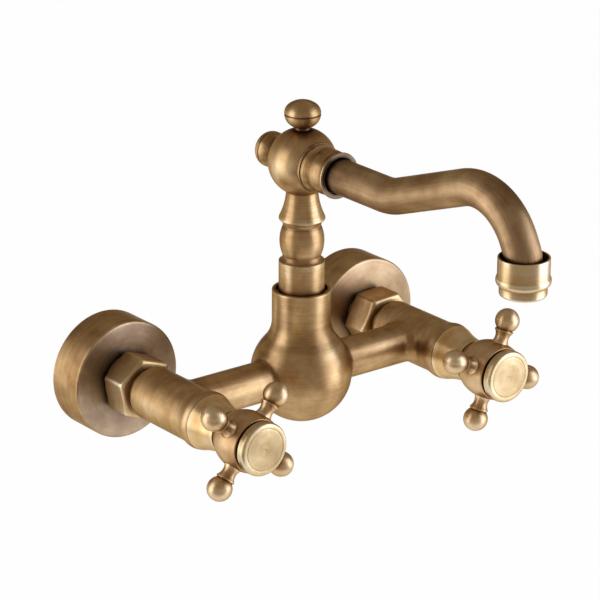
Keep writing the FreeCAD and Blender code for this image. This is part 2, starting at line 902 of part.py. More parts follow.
def make_handle_screw(label):
    head_front = hub_floor + d.screw_head_thick
    body = turned(label, [
        (0, hub_floor - d.screw_length),
        (d.screw_r, hub_floor - d.screw_length),
        (d.screw_r, hub_floor),
        (d.screw_head_r, hub_floor),
        (d.screw_head_r, head_front),
        (0, head_front),
    ])
    slot = sketch_on(body, "XY_Plane", label + "_slot_outline")
    shift(slot, head_front)
    long, wide = d.screw_head_r + d.overrun, d.screw_slot_width / 2
    draw_path(slot, [(-long, -wide), (long, -wide), (long, wide), (-long, wide)], closed=True)
    pocket(body, slot, label + "_slot", d.screw_slot_depth)
    return body


def make_handle_cap(label):
    cap_r = hub_front_r - d.cap_step
    skirt_r = hub_recess_r - d.thread_clearance
    inside_r = skirt_r - d.cap_wall
    skirt_back = cap_back - d.cap_skirt_length
    ceiling = cap_front - d.cap_wall
    line_r = cap_r - d.cap_line_inset
    line_in = line_r - d.cap_line_width / 2
    line_out = line_r + d.cap_line_width / 2
    line_floor = cap_front - d.cap_line_depth
    return turned(label, [
        (inside_r, skirt_back),
        (skirt_r, skirt_back),
        (skirt_r, cap_back),
        (cap_r, cap_back),
        (cap_r, cap_front - d.cap_edge_round),
        bow(cap_r - d.cap_edge_round, cap_front, d.cap_edge_round, right),
        (line_out, cap_front),
        (line_r, line_floor),
        (line_in, cap_front),
        (d.cap_dot_r, cap_front),
        (0, line_floor),
        (0, ceiling),
        (inside_r, ceiling),
    ])


# Mixing bulb and swivel joint

def make_mixing_bulb(label):
    blend_x = neck_r + d.neck_blend_r
    blend_up = other_leg(d.bulb_r + d.neck_blend_r, blend_x)
    meet_share = d.bulb_r / (d.bulb_r + d.neck_blend_r)
    rim = d.neck_rim_bevel
    body = turned(label, [
        (0, -d.bulb_r),
        bow(d.bulb_r, 0, d.bulb_r, right),
        bow(blend_x * meet_share, blend_up * meet_share, d.bulb_r, right),
        bow(neck_r, blend_up, d.neck_blend_r, left),
        (neck_r, d.neck_height - rim),
        (neck_r - rim, d.neck_height),
        (neck_recess_r, d.neck_height),
        (neck_recess_r, neck_floor),
        (d.swivel_bore_r, neck_floor),
        (d.swivel_bore_r, bore_foot),
        bow(bulb_cavity_r, 0, bulb_cavity_r, left),
        bow(0, -bulb_cavity_r, bulb_cavity_r, left),
    ])
    sockets = sketch_on(body, "YZ_Plane", label + "_sockets_outline")
    draw_circle(sockets, 0, 0, tube_socket_r)
    pocket(body, sockets, label + "_sockets", both_ways=True)
    return body


def make_snap_ring(label):
    inside_r = stem_r - d.snap_depth
    outer_r = stem_r + d.snap_grip
    top = snap_groove + d.snap_thick
    outline = [(inside_r, snap_groove), (outer_r, snap_groove), (outer_r, top), (inside_r, top)]
    return turned(label, outline, opening=d.snap_opening)


def make_pillar(label):
    stem_foot = snap_groove - d.stem_toe
    snap_middle = snap_groove + d.snap_thick / 2
    snap_half = d.snap_thick / 2 + d.film
    ring_half = d.swivel_ring_cord_r + d.film
    ring_floor_r = swivel_ring_r - ring_half
    grooves = ring_groove(stem_r, stem_r - d.snap_depth - d.film, snap_middle, snap_half)
    for centre in swivel_rings:
        grooves += ring_groove(stem_r, ring_floor_r, centre, ring_half)
    bulge_up = (pillar_cove + pillar_groove) / 2
    low_sweep_r = sweep(d.pillar_bulge_height / 2, d.pillar_bulge_rise)
    high_sweep_r = sweep(d.pillar_bulge_height / 2, d.pillar_groove_depth)
    cove_r = pillar_collar_r - d.pillar_cove_depth
    bulge_r = cove_r + d.pillar_bulge_rise
    groove_r = bulge_r - d.pillar_groove_depth
    lip_r = groove_r + d.pillar_lip_overhang
    spigot_top = pillar_top + d.pillar_spigot_length
    return turned(label, [
        (d.water_bore_r, stem_foot),
        (stem_r, stem_foot),
        *grooves,
        (stem_r, collar_foot),
        (pillar_collar_r, collar_foot),
        (pillar_collar_r, pillar_collar),
        bow(cove_r, pillar_cove, d.pillar_cove_sweep_r, left),
        bow(bulge_r, bulge_up, low_sweep_r, right),
        bow(groove_r, pillar_groove, high_sweep_r, right),
        bow(lip_r, pillar_lip, d.pillar_lip_sweep_r, left),
        (lip_r, pillar_lip + d.pillar_lip_thick),
        bow(d.pillar_top_r, pillar_top, d.pillar_cone_sweep_r, left),
        (spigot_r, pillar_top),
        (spigot_r, spigot_top),
        (d.water_bore_r, spigot_top),
    ])


# Ball head and finials

def make_ball_head(label):
    spigot_hole_r = spigot_r + d.thread_clearance
    finial_hole_r = d.finial_thread_r + d.thread_clearance
    body = turned(label, [
        (spigot_hole_r, -pillar_seat),
        (d.pillar_top_r, -pillar_seat),
        bow(d.ball_r, 0, d.ball_r, right),
        bow(d.finial_neck_r, finial_seat, d.ball_r, right),
        (finial_hole_r, finial_seat),
        (finial_hole_r, other_leg(ball_cavity_r, finial_hole_r)),
        bow(ball_cavity_r, 0, ball_cavity_r, left),
        bow(spigot_hole_r, -other_leg(ball_cavity_r, spigot_hole_r), ball_cavity_r, left),
    ])
    # The XZ plane faces the front, so these cuts run forwards from it for the spout and backwards
    # for the rear finial.
    cuts = {
        "collar_seat": (collar_seat, d.ball_r, True),
        "spout_hole": (as_size(0), tube_hole_r, True),
        "rear_seat": (-finial_seat, d.ball_r, False),
        "rear_hole": (as_size(0), finial_hole_r, False),
    }
    for name, (distance, radius, forward) in cuts.items():
        sketch = sketch_on(body, "XZ_Plane", f"{label}_{name}_outline")
        shift(sketch, distance)
        draw_circle(sketch, 0, 0, radius)
        pocket(body, sketch, f"{label}_{name}", d.ball_r, forward=forward)
    return body


def make_finial(label):
    thread_end = finial_seat - d.finial_thread_length
    neck_top = finial_seat + d.finial_neck_length
    half_line = d.finial_line_width / 2
    middle = finial_seat + d.finial_under_height
    low, high = middle - half_line, middle + half_line
    across, rise = cosine(d.finial_shoulder_turn), sine(d.finial_shoulder_turn)
    shoulder_x = d.finial_r - d.finial_shoulder_r
    back_to_axis = shoulder_x / across
    dome_r = d.finial_shoulder_r + back_to_axis
    dome_foot = (shoulder_x + d.finial_shoulder_r * across, high + d.finial_shoulder_r * rise)
    return turned(label, [
        (0, thread_end),
        (d.finial_thread_r, thread_end),
        (d.finial_thread_r, finial_seat),
        (d.finial_neck_r, finial_seat),
        (d.finial_neck_r, neck_top),
        bow(d.finial_r, low, d.finial_under_sweep_r, right),
        (d.finial_r - d.finial_line_depth, middle),
        (d.finial_r, high),
        bow(*dome_foot, d.finial_shoulder_r, right),
        bow(0, high - back_to_axis * rise + dome_r, dome_r, right),
    ])


# Spout

def make_spout_collar(label):
    ring_end = collar_seat + d.collar_ring_thick
    line_middle = collar_seat + d.collar_ring_thick / 2
    line_half = d.collar_line_width / 2
    line_floor_r = collar_second_r - d.collar_line_depth
    recess_r = d.tube_r + d.collar_recess_gap
    lip_r = recess_r + d.collar_lip_wall
    waist = ring_end + d.collar_cove_length
    band_end = waist + d.collar_band_length
    front = band_end + d.collar_lip_length
    recess_back = front - d.collar_recess_depth
    lip = d.collar_lip_round
    return turned(label, [
        (tube_hole_r, collar_seat),
        (collar_first_r, collar_seat),
        (collar_first_r, line_middle - line_half),
        (line_floor_r, line_middle),
        (collar_second_r, line_middle + line_half),
        (collar_second_r, ring_end),
        (collar_waist_r, waist),
        bow(collar_waist_r, band_end, d.collar_band_sweep_r, right),
        bow(lip_r, front - lip, d.collar_lip_sweep_r, left),
        bow(lip_r - lip, front, lip, right),
        (recess_r, front),
        (recess_r, recess_back),
        (tube_hole_r, recess_back),
    ])


def bend(corner_x, corner_y, turn_in, turn_out, radius, side):
    """The two steps that round one corner of a path, where the turns are headings in degrees."""
    half_turn = (turn_in - turn_out) / 2 if side == left else (turn_out - turn_in) / 2
    reach = radius * tangent(half_turn)
    start = (corner_x - reach * cosine(turn_in), corner_y - reach * sine(turn_in))
    finish = (corner_x + reach * cosine(turn_out), corner_y + reach * sine(turn_out))
    return [start, bow(*finish, radius, side)]


# The corners of the tube's centre line, out from and up from the centre of the ball. The two last bends
# and the straight run between them set how far the crest stands back from the end.

straight_down = as_size(-quarter_turn)
end_turn = as_size(quarter_turn) - d.dive_angle
crest_bend_reach = d.crest_bend_r * tangent((d.rise_angle + d.dive_angle) / 2)
end_bend_reach = d.end_bend_r * tangent(end_turn / 2)
dive_length = crest_bend_reach + d.dive_straight + end_bend_reach
crest_out = d.spout_reach - dive_length * cosine(d.dive_angle)
crest_rise = (crest_out - d.first_bend_out) * tangent(d.rise_angle)
end_corner_up = crest_rise - dive_length * sine(d.dive_angle)
tube_end_up = end_corner_up - end_bend_reach - d.tube_end_straight


def make_spout_tube(label):
    """A bent tube whose centre line is measured out from and up from the centre of the ball."""
    tube_start = collar_seat - d.tube_engage
    body = new_body(label)
    route = sketch_on(body, "XZ_Plane", label + "_route")
    level = as_size(0)
    draw_path(route, [
        (tube_start, 0),
        *bend(d.first_bend_out, level, level, d.rise_angle, d.first_bend_r, right),
        *bend(crest_out, crest_rise, d.rise_angle, -d.dive_angle, d.crest_bend_r, left),
        *bend(d.spout_reach, end_corner_up, -d.dive_angle, straight_down, d.end_bend_r, left),
        (d.spout_reach, tube_end_up),
    ], closed=False)
    section = sketch_on(body, "YZ_Plane", label + "_section")
    shift(section, tube_start)
    draw_circle(section, 0, 0, d.tube_r)
    draw_circle(section, 0, 0, tube_bore_r)
    pipe = body.newObject("PartDesign::AdditivePipe", label + "_pipe")
    pipe.Profile = section
    pipe.Spine = route
    doc.recompute()
    return body


def make_aerator_shell(label):
    # The rim stands as high as the inside of the tube's last bend lets it.
    inside_bend_r = d.end_bend_r - d.tube_r
    bend_lean = d.end_bend_r - inside_bend_r * cosine(end_turn)
    bend_top = d.tube_end_straight + inside_bend_r * sine(end_turn)
    rim = bend_top + (aerator_bore_r - d.aerator_rim_gap - bend_lean) * tangent(d.dive_angle)
    outer_r = aerator_bore_r + d.aerator_wall
    foot_r = outer_r - d.aerator_foot_draw
    ledge_up = -(d.aerator_washer_thick + d.insert_flange_thick)
    outlet_r = aerator_bore_r - d.aerator_ledge
    bottom = -d.aerator_foot_drop
    foot_round, bevel = d.aerator_foot_round, d.aerator_rim_bevel
    return turned(label, [
        (outlet_r, bottom),
        (foot_r - foot_round + d.aerator_wall, bottom),
        bow(foot_r, bottom + foot_round, foot_round, right),
        (foot_r, -d.aerator_bead_foot),
        bow(outer_r, d.aerator_bead_top, d.aerator_bead_sweep_r, right),
        (outer_r, rim - bevel),
        (outer_r - bevel, rim),
        (aerator_bore_r, rim),
        (aerator_bore_r, ledge_up),
        (outlet_r, ledge_up),
    ])


def make_aerator_insert(label):
    flange_top = -d.aerator_washer_thick
    flange_bottom = flange_top - d.insert_flange_thick
    bottom = flange_bottom - d.insert_depth
    core_r = nose_r - d.aerator_ledge
    body = turned(label, [
        (0, bottom),
        (core_r, bottom),
        (core_r, flange_bottom),
        (nose_r, flange_bottom),
        (nose_r, flange_top),
        (0, flange_top),
    ])
    rows = {
        "outer": (d.insert_outer_ring_r, d.insert_outer_holes),
        "inner": (d.insert_inner_ring_r, d.insert_inner_holes),
    }
    for name, (ring_r, count) in rows.items():
        sketch = sketch_on(body, "XY_Plane", f"{label}_{name}_outline")
        draw_circle(sketch, ring_r, 0, d.insert_hole_r)
        hole = pocket(body, sketch, f"{label}_{name}")
        around(body, hole, count)
    return body


# Both inlet sides with their handles

sides = (
    ("hot", -half_spacing, d.hot_nut_clock, d.hot_handle_clock, 0),
    ("cold", half_spacing, d.cold_nut_clock, d.cold_handle_clock, 2 * quarter_turn),
)

seal_r = shell_r - d.seat_seal_inset

for side, x, nut_clock, handle_clock, arm_turn in sides:
    front_facing = [
        make_wall_union(side + "_wall_union"),
        make_wall_flange(side + "_wall_flange"),
        make_washer(side + "_union_washer", d.union_bore_r, nipple_collar_r, union_front, washer_front),
        make_inlet_nipple(side + "_inlet_nipple"),
        make_headwork(side + "_headwork"),
        make_washer(side + "_seat_seal", d.seat_seal_bore_r, seal_r, seat, seal_front),
        make_disc(side + "_fixed_disc", shell_bore_r - d.running_clearance, seal_front),
        make_spindle(side + "_spindle"),
        rings(side + "_spindle_rings", spindle_ring_r, d.spindle_ring_cord_r, spindle_rings),
        make_spindle_clip(side + "_spindle_clip"),
        make_bell_shroud(side + "_bell_shroud"),
        make_handle_screw(side + "_handle_screw"),
        make_handle_cap(side + "_handle_cap"),
    ]
    for piece in front_facing:
        place(piece, x, 0, 0, to_front)
    # The turning disc is shut at rest: its ports lie a quarter turn from those of the fixed disc.
    turning_disc = make_disc(side + "_turning_disc", d.disc_r, turning_disc_back)
    place(turning_disc, x, 0, 0, to_front * turned_by(quarter_turn))
    place(make_union_nut(side + "_union_nut"), x, 0, 0, to_front * turned_by(nut_clock.value))
    place(make_valve_arm(side + "_valve_arm"), x, 0, 0, to_front * turned_by(arm_turn))
    place(make_handle_hub(side + "_handle_hub"), x, 0, 0, to_front * turned_by(handle_clock.value))
    for number in range(sizes["spoke_count"]):
        angle = handle_clock.value + full_turn / sizes["spoke_count"] * number
        spoke = make_spoke(f"{side}_spoke_{number + 1}")
        # A spoke's own axis points up: it is laid over to +X, then clocked about the handle's axis.
        laid_over = FreeCAD.Rotation(FreeCAD.Vector(0, 1, 0), quarter_turn)
        place(spoke, x, -spoke_out, 0, to_front * turned_by(angle) * laid_over)

# Bulb, pillar, head and spout on the middle axis

place(make_mixing_bulb("mixing_bulb"), 0, -bridge_out, 0)
washer_top = neck_floor + d.swivel_washer_thick
washer_bore_r = d.swivel_bore_r + d.running_clearance
washer_outer_r = neck_recess_r - d.running_clearance
place(make_washer("swivel_washer", washer_bore_r, washer_outer_r, neck_floor, washer_top), 0, -bridge_out, 0)
place(make_snap_ring("snap_ring"), 0, -bridge_out, 0)
place(make_pillar("pillar"), 0, -bridge_out, 0)
place(rings("swivel_rings", swivel_ring_r, d.swivel_ring_cord_r, swivel_rings), 0, -bridge_out, 0)
place(make_ball_head("ball_head"), 0, -bridge_out, head_up)
place(make_finial("top_finial"), 0, -bridge_out, head_up)
place(make_finial("rear_finial"), 0, -bridge_out, head_up, to_back)
place(make_spout_collar("spout_collar"), 0, -bridge_out, head_up, to_front)
# The tube is drawn to the right of the ball and turned to the front.
place(make_spout_tube("spout_tube"), 0, -bridge_out, head_up, turned_by(-quarter_turn))

spout_end = (0, -(bridge_out + d.spout_reach), head_up + tube_end_up)
place(make_washer("spout_nose", tube_hole_r, nose_r, as_size(0), d.nose_length), *spout_end)
place(make_aerator_shell("aerator_shell"), *spout_end)
washer_bottom = -d.aerator_washer_thick
place(make_washer("aerator_washer", tube_bore_r, nose_r, washer_bottom, as_size(0)), *spout_end)
place(make_aerator_insert("aerator_insert"), *spout_end)
doc.recompute()

# Nothing is written unless every object is sound.

faulty = [thing.Label for thing in doc.Objects if {"Invalid", "Error"} & set(thing.State)]
faulty += [part.Label for part in parts if part.Shape.isNull() or not part.Shape.isValid()]
if faulty:
    raise RuntimeError(f"Failed: {faulty}")

os.makedirs("parts", exist_ok=True)
for part in parts:
    part.Shape.exportStep(f"parts/{part.Label}.step")
print(f"{len(parts)} pieces written")
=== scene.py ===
import json
import math
import bpy
import numpy as np
from mathutils import Matrix, Vector


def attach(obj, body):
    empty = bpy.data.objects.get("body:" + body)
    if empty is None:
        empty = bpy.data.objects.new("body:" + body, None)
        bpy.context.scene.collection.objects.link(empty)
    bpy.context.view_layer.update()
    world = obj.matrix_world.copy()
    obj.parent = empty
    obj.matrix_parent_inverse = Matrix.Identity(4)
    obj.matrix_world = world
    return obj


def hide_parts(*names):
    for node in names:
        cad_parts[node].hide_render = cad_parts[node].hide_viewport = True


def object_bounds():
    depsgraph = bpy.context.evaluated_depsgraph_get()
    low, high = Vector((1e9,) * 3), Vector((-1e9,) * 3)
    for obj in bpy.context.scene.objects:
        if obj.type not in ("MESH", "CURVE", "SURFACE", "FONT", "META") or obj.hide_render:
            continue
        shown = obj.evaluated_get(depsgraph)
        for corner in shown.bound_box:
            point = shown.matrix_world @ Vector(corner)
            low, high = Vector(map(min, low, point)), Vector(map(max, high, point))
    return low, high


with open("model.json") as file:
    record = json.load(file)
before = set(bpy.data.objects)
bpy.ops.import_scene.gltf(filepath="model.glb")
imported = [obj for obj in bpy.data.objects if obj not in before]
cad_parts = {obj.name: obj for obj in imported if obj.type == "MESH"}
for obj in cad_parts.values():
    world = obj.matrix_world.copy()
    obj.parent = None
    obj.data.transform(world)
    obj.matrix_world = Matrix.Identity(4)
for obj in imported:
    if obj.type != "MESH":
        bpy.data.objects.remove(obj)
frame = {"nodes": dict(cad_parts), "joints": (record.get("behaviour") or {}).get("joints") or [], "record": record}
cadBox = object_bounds()
mm = 0.001  # outlines are in millimetres, Blender in metres
quarterTurn = math.pi / 2

# Where the pieces turn, taken from the frame
joints = {joint["name"]: joint for joint in frame["joints"]}
bodyOf = {node: body for body, nodes in frame["record"]["behaviour"]["bodies"].items() for node in nodes}
inletX = {side: joints[side + "_handle_turn"]["pos_m"][0] for side in ("hot", "cold")}
swivelY = joints["spout_swivel"]["pos_m"][1]
print("frame loaded,", len(frame["nodes"]), "nodes")


# Outlines: radius and height in mm, run anticlockwise, so that positive bows swell out of the metal

def corner(r, z, ease=0):
    return (r, z, ease, 0)


def bow(r, z, sweep, ease=0):
    return (r, z, ease, sweep)


tracing = {
    "degreesPerStep": 4, "leastSteps": 4,  # along an arc
    "easeSteps": 6,  # round an eased corner
    "support": 1.45, "most": 0.96,  # an ease is held flat this far past its end, and fills this much of a run
    "apart": 0.001, "tiny": 1e-6,  # mm, points nearer than these fall together
    "wearReach": 0.9, "wearLimits": (-0.5, 0.45),  # mm along the outline, and the strongest hollow and edge
    "sharpAngle": 38,  # degrees, above which an edge isn't smoothed
}


def runTo(start, end, sweep):
    if not sweep:
        return np.array([start, end])
    turn = math.copysign(2 * math.asin(min(1, abs(end - start) / 2 / abs(sweep))), sweep)
    steps = max(tracing["leastSteps"], math.ceil(abs(math.degrees(turn)) / tracing["degreesPerStep"]))
    spin = np.exp(1j * turn * np.linspace(0, 1, steps + 1))
    return start + (end - start) * (spin - 1) / (spin[-1] - 1)


def trim(points, cutStart, cutEnd):
    lengths = np.concatenate([[0], np.cumsum(abs(np.diff(points)))])
    total = lengths[-1]
    support, apart = tracing["support"], tracing["apart"]
    wanted = max(tracing["tiny"], (cutStart + cutEnd) * support)
    fit = min(1, tracing["most"] * total / wanted)  # eases never overlap
    cutStart, cutEnd = cutStart * fit, cutEnd * fit
    head = [cutStart, cutStart * support] if cutStart else [0]
    tail = [total - cutEnd * support, total - cutEnd] if cutEnd else [total]
    inside = [s for s in lengths if head[-1] + apart < s < tail[0] - apart]
    marks = head + inside + tail
    return [complex(np.interp(s, lengths, points.real), np.interp(s, lengths, points.imag)) for s in marks]


def trace(steps):
    marks = [complex(r, z) for r, z, _, _ in steps]
    eases = [ease for _, _, ease, _ in steps]
    runs = []
    for i, (_, _, ease, sweep) in enumerate(steps):
        start, end = marks[i - 1], marks[i]
        if abs(start.real) + abs(end.real) < tracing["tiny"]:
            runs.append([start, end])  # along the axis, where there is no wall
        else:
            runs.append(trim(runTo(start, end, sweep), eases[i - 1], ease))
    line = []
    for i, run in enumerate(runs):
        line += run[1:] if line and abs(line[-1] - run[0]) < tracing["tiny"] else run
        if eases[i]:
            after = runs[(i + 1) % len(runs)][0]
            for k in range(1, tracing["easeSteps"]):
                t = k / tracing["easeSteps"]
                line.append((1 - t) ** 2 * run[-1] + 2 * t * (1 - t) * marks[i] + t ** 2 * after)
    if abs(line[-1] - line[0]) < tracing["tiny"]:
        line.pop()
    return np.array(line)


def edgeWear(line):
    # how sharply the outline turns near each point: edges positive, hollows negative
    way = np.roll(line, -1) - line
    turn = np.angle(way / np.roll(way, 1))
    turn[line.real < tracing["tiny"]] = 0
    along = np.concatenate([[0], np.cumsum(abs(way[:-1]))])
    reach = tracing["wearReach"]
    near = np.exp(-((along[:, None] - along[None, :]) / reach) ** 2 / 2) / (reach * math.sqrt(2 * math.pi))
    return np.clip(near @ turn, *tracing["wearLimits"]), along


def cornerWear(ring):
    # the same along a ring that isn't round, such as a hexagon's corners
    way = np.roll(ring, -1) - ring
    turn = np.angle(way / np.roll(way, 1)) - 2 * math.pi / len(ring)
    reach = tracing["wearReach"] / abs(way).mean()
    apart = np.arange(len(ring))
    apart = np.minimum(apart, len(ring) - apart)
    near = np.exp(-(apart / reach) ** 2 / 2) / (tracing["wearReach"] * math.sqrt(2 * math.pi))
    return np.real(np.fft.ifft(np.fft.fft(turn) * np.fft.fft(near)))


brushing = {
    "stretch": 36,  # how many times longer than wide the brush marks are drawn
    "offset": 53.7,  # mm along the pattern from piece to piece, so that no two carry the same marks
}


def skin(name, rings, grain, wear, grainWay):
    # walls between neighbouring rings of points, the last ring back to the first
    points, faces, starts = [], [], []
    for ring in rings:
        starts.append(len(points))
        points.extend(ring)
    count = max(len(ring) for ring in rings)
    for j in range(len(rings)):
        k = (j + 1) % len(rings)
        low, high = starts[j], starts[k]
        if len(rings[j]) == 1 and len(rings[k]) == 1:
            continue
        for i in range(count):
            n = (i + 1) % count
            if len(rings[j]) == 1:
                faces.append((low, high + n, high + i))
            elif len(rings[k]) == 1:
                faces.append((low + i, low + n, high))
            else:
                faces.append((low + i, low + n, high + n, high + i))
    mesh = bpy.data.meshes.new(name)
    mesh.from_pydata((np.array(points) * mm).tolist(), [], faces)
    for label, values, kind in (("grain", grain, "FLOAT_VECTOR"), ("wear", wear, "FLOAT"),
                                ("grainWay", grainWay, "FLOAT_VECTOR")):
        layer = mesh.attributes.new(label, kind, "POINT")
        layer.data.foreach_set("vector" if kind == "FLOAT_VECTOR" else "value",
                               np.concatenate(values).astype(np.float32).ravel())
    mesh.shade_smooth()
    mesh.set_sharp_from_angle(angle=math.radians(tracing["sharpAngle"]))
    return mesh


drawn = {"pieces": 0}


def lathe(name, outline, around=128):
    # outline is a list of steps, or a function that gives the outline's points at an angle
    drawn["pieces"] += 1
    offset = brushing["offset"] * drawn["pieces"]
    angles = np.arange(around) * 2 * math.pi / around
    lines = [outline(angle) for angle in angles] if callable(outline) else [trace(outline)]
    worn = [edgeWear(line) for line in lines]
    rings, grain, wear, grainWay = [], [], [], []
    for j in range(len(lines[0])):
        onAxis = abs(lines[0][j].real) < tracing["tiny"]
        used = angles[:1] if onAxis else angles
        spots = [lines[i % len(lines)] for i in range(len(used))]
        r = np.array([line[j].real for line in spots])
        z = np.array([line[j].imag for line in spots])
        step = np.array([line[(j + 1) % len(line)] - line[j - 1] for line in spots])
        step = step / np.maximum(abs(step), tracing["tiny"])
        along = np.array([worn[i % len(worn)][1][j] for i in range(len(used))]) + offset
        ringWear = np.array([worn[i % len(worn)][0][j] for i in range(len(used))])
        c, s = np.cos(used), np.sin(used)
        if len(lines) > 1:
            ringWear = ringWear + cornerWear(r * (c + 1j * s))
        rings.append(np.stack([r * c, r * s, z], 1))
        stretch = brushing["stretch"]
        grain.append(np.stack([r * c / stretch, r * s / stretch, along], 1))
        wear.append(ringWear)
        grainWay.append(np.stack([step.real * c, step.real * s, step.imag], 1))
    return skin(name, rings, grain, wear, grainWay)


# Materials

def linear(code):
    channels = [int(code[i:i + 2], 16) / 255 for i in (1, 3, 5)]
    return [c / 12.92 if c <= 0.04045 else ((c + 0.055) / 1.055) ** 2.4 for c in channels] + [1]


def addNode(tree, kind, inputs=None, tones=(), **settings):
    node = tree.nodes.new(kind)
    for name, value in settings.items():
        setattr(node, name, value)
    for name, value in (inputs or {}).items():
        if isinstance(value, bpy.types.NodeSocket):
            tree.links.new(value, node.inputs[name])
        else:
            node.inputs[name].default_value = value
    for number, (place, code) in enumerate(tones):  # the stops of a ramp, from low to high
        stops = node.color_ramp.elements
        stop = stops[number] if number < len(stops) else stops.new(place)
        stop.position, stop.color = place, linear(code)
    return node


def newMaterial(name, **constants):
    material = bpy.data.materials.new(name)
    material.use_nodes = True
    shader = material.node_tree.nodes["Principled BSDF"]
    for socket, value in constants.items():
        shader.inputs[socket.replace("_", " ")].default_value = value
    return material, material.node_tree, shader


# Antique brass: cast and turned brass, browned in a bath, then brushed and lacquered. It gives the eye a warm
# brown metal with fine brush lines, gold where the brush bit into edges, dark oxide left in the hollows, and
# painted shade in corners and next to other pieces.
antiqueBrass = {
    "streak": 0.4,  # mm, brush lines are finer than this and are drawn coarser to show
    "band": 3.0,  # mm, uneven strokes of the brush
    "cloud": 17.0,  # mm, patches of the browning bath
    "oxideReach": 2.5, "oxideSamples": 6,  # mm, how far the oxide in a piece's own hollows, and the painted shade where pieces meet, reach into a crevice
    "shadeReach": 11.0, "shadeSamples": 8,  # mm, how far painted shade reaches out from corners and from the pieces nearby
    "lineDepth": 0.06, "bump": 0.25,  # mm, depth of the brush lines, and how much of it shows
    "lacquer": 0.2, "lacquerRoughness": 0.25,  # thin and satin
    "edgeTint": "#96805F",  # the browned skin swallows light that skims it
    # how far each mark moves the tone, and its usual value, which moves it nowhere
    "weights": {"cloud": 0.70, "band": 0.16, "crevice": 0.30, "shade": 0.44, "wear": 0.22},
    "usual": {"cloud": 0.5, "streak": 0.5, "band": 0.5, "crevice": 0.95, "shade": 0.87, "wear": 0},
    "usualTone": 0.46,  # place among the tones where every mark is usual
    "roughTones": (0.2, 0.8), "roughness": (0.48, 0.34),  # from oxide to worn brass
    "tones": [(0.14, "#583E28"), (0.38, "#A17B50"), (0.60, "#D0AD7C"), (0.84, "#F3E4C4")],
}


forward = (quarterTurn, 0, 0)  # turns an upright axis to point out from the wall


def axisGrain(tree, middle, ballRadius=0):
    # brush lines about an axis out from the wall, for a piece that has none drawn into its mesh
    place = addNode(tree, "ShaderNodeTexCoord").outputs["Object"]
    local = addNode(tree, "ShaderNodeMapping", {"Vector": place, "Location": middle, "Rotation": forward},
                    vector_type="TEXTURE").outputs[0]
    axes = addNode(tree, "ShaderNodeSeparateXYZ", {0: local}).outputs
    height = axes["Z"]
    if ballRadius:
        flat = addNode(tree, "ShaderNodeCombineXYZ", {"X": axes["X"], "Y": axes["Y"]}).outputs[0]
        across = addNode(tree, "ShaderNodeVectorMath", {0: flat}, operation="LENGTH").outputs["Value"]
        height = addNode(tree, "ShaderNodeMath", {0: across, 1: axes["Z"]}, operation="ARCTAN2").outputs[0]
        height = addNode(tree, "ShaderNodeMath", {0: height, 1: ballRadius}, operation="MULTIPLY").outputs[0]
    joined = addNode(tree, "ShaderNodeCombineXYZ", {"X": axes["X"], "Y": axes["Y"], "Z": height}).outputs[0]
    squeeze = (1 / mm / brushing["stretch"], 1 / mm / brushing["stretch"], 1 / mm)
    return addNode(tree, "ShaderNodeVectorMath", {0: joined, 1: squeeze}, operation="MULTIPLY").outputs[0]


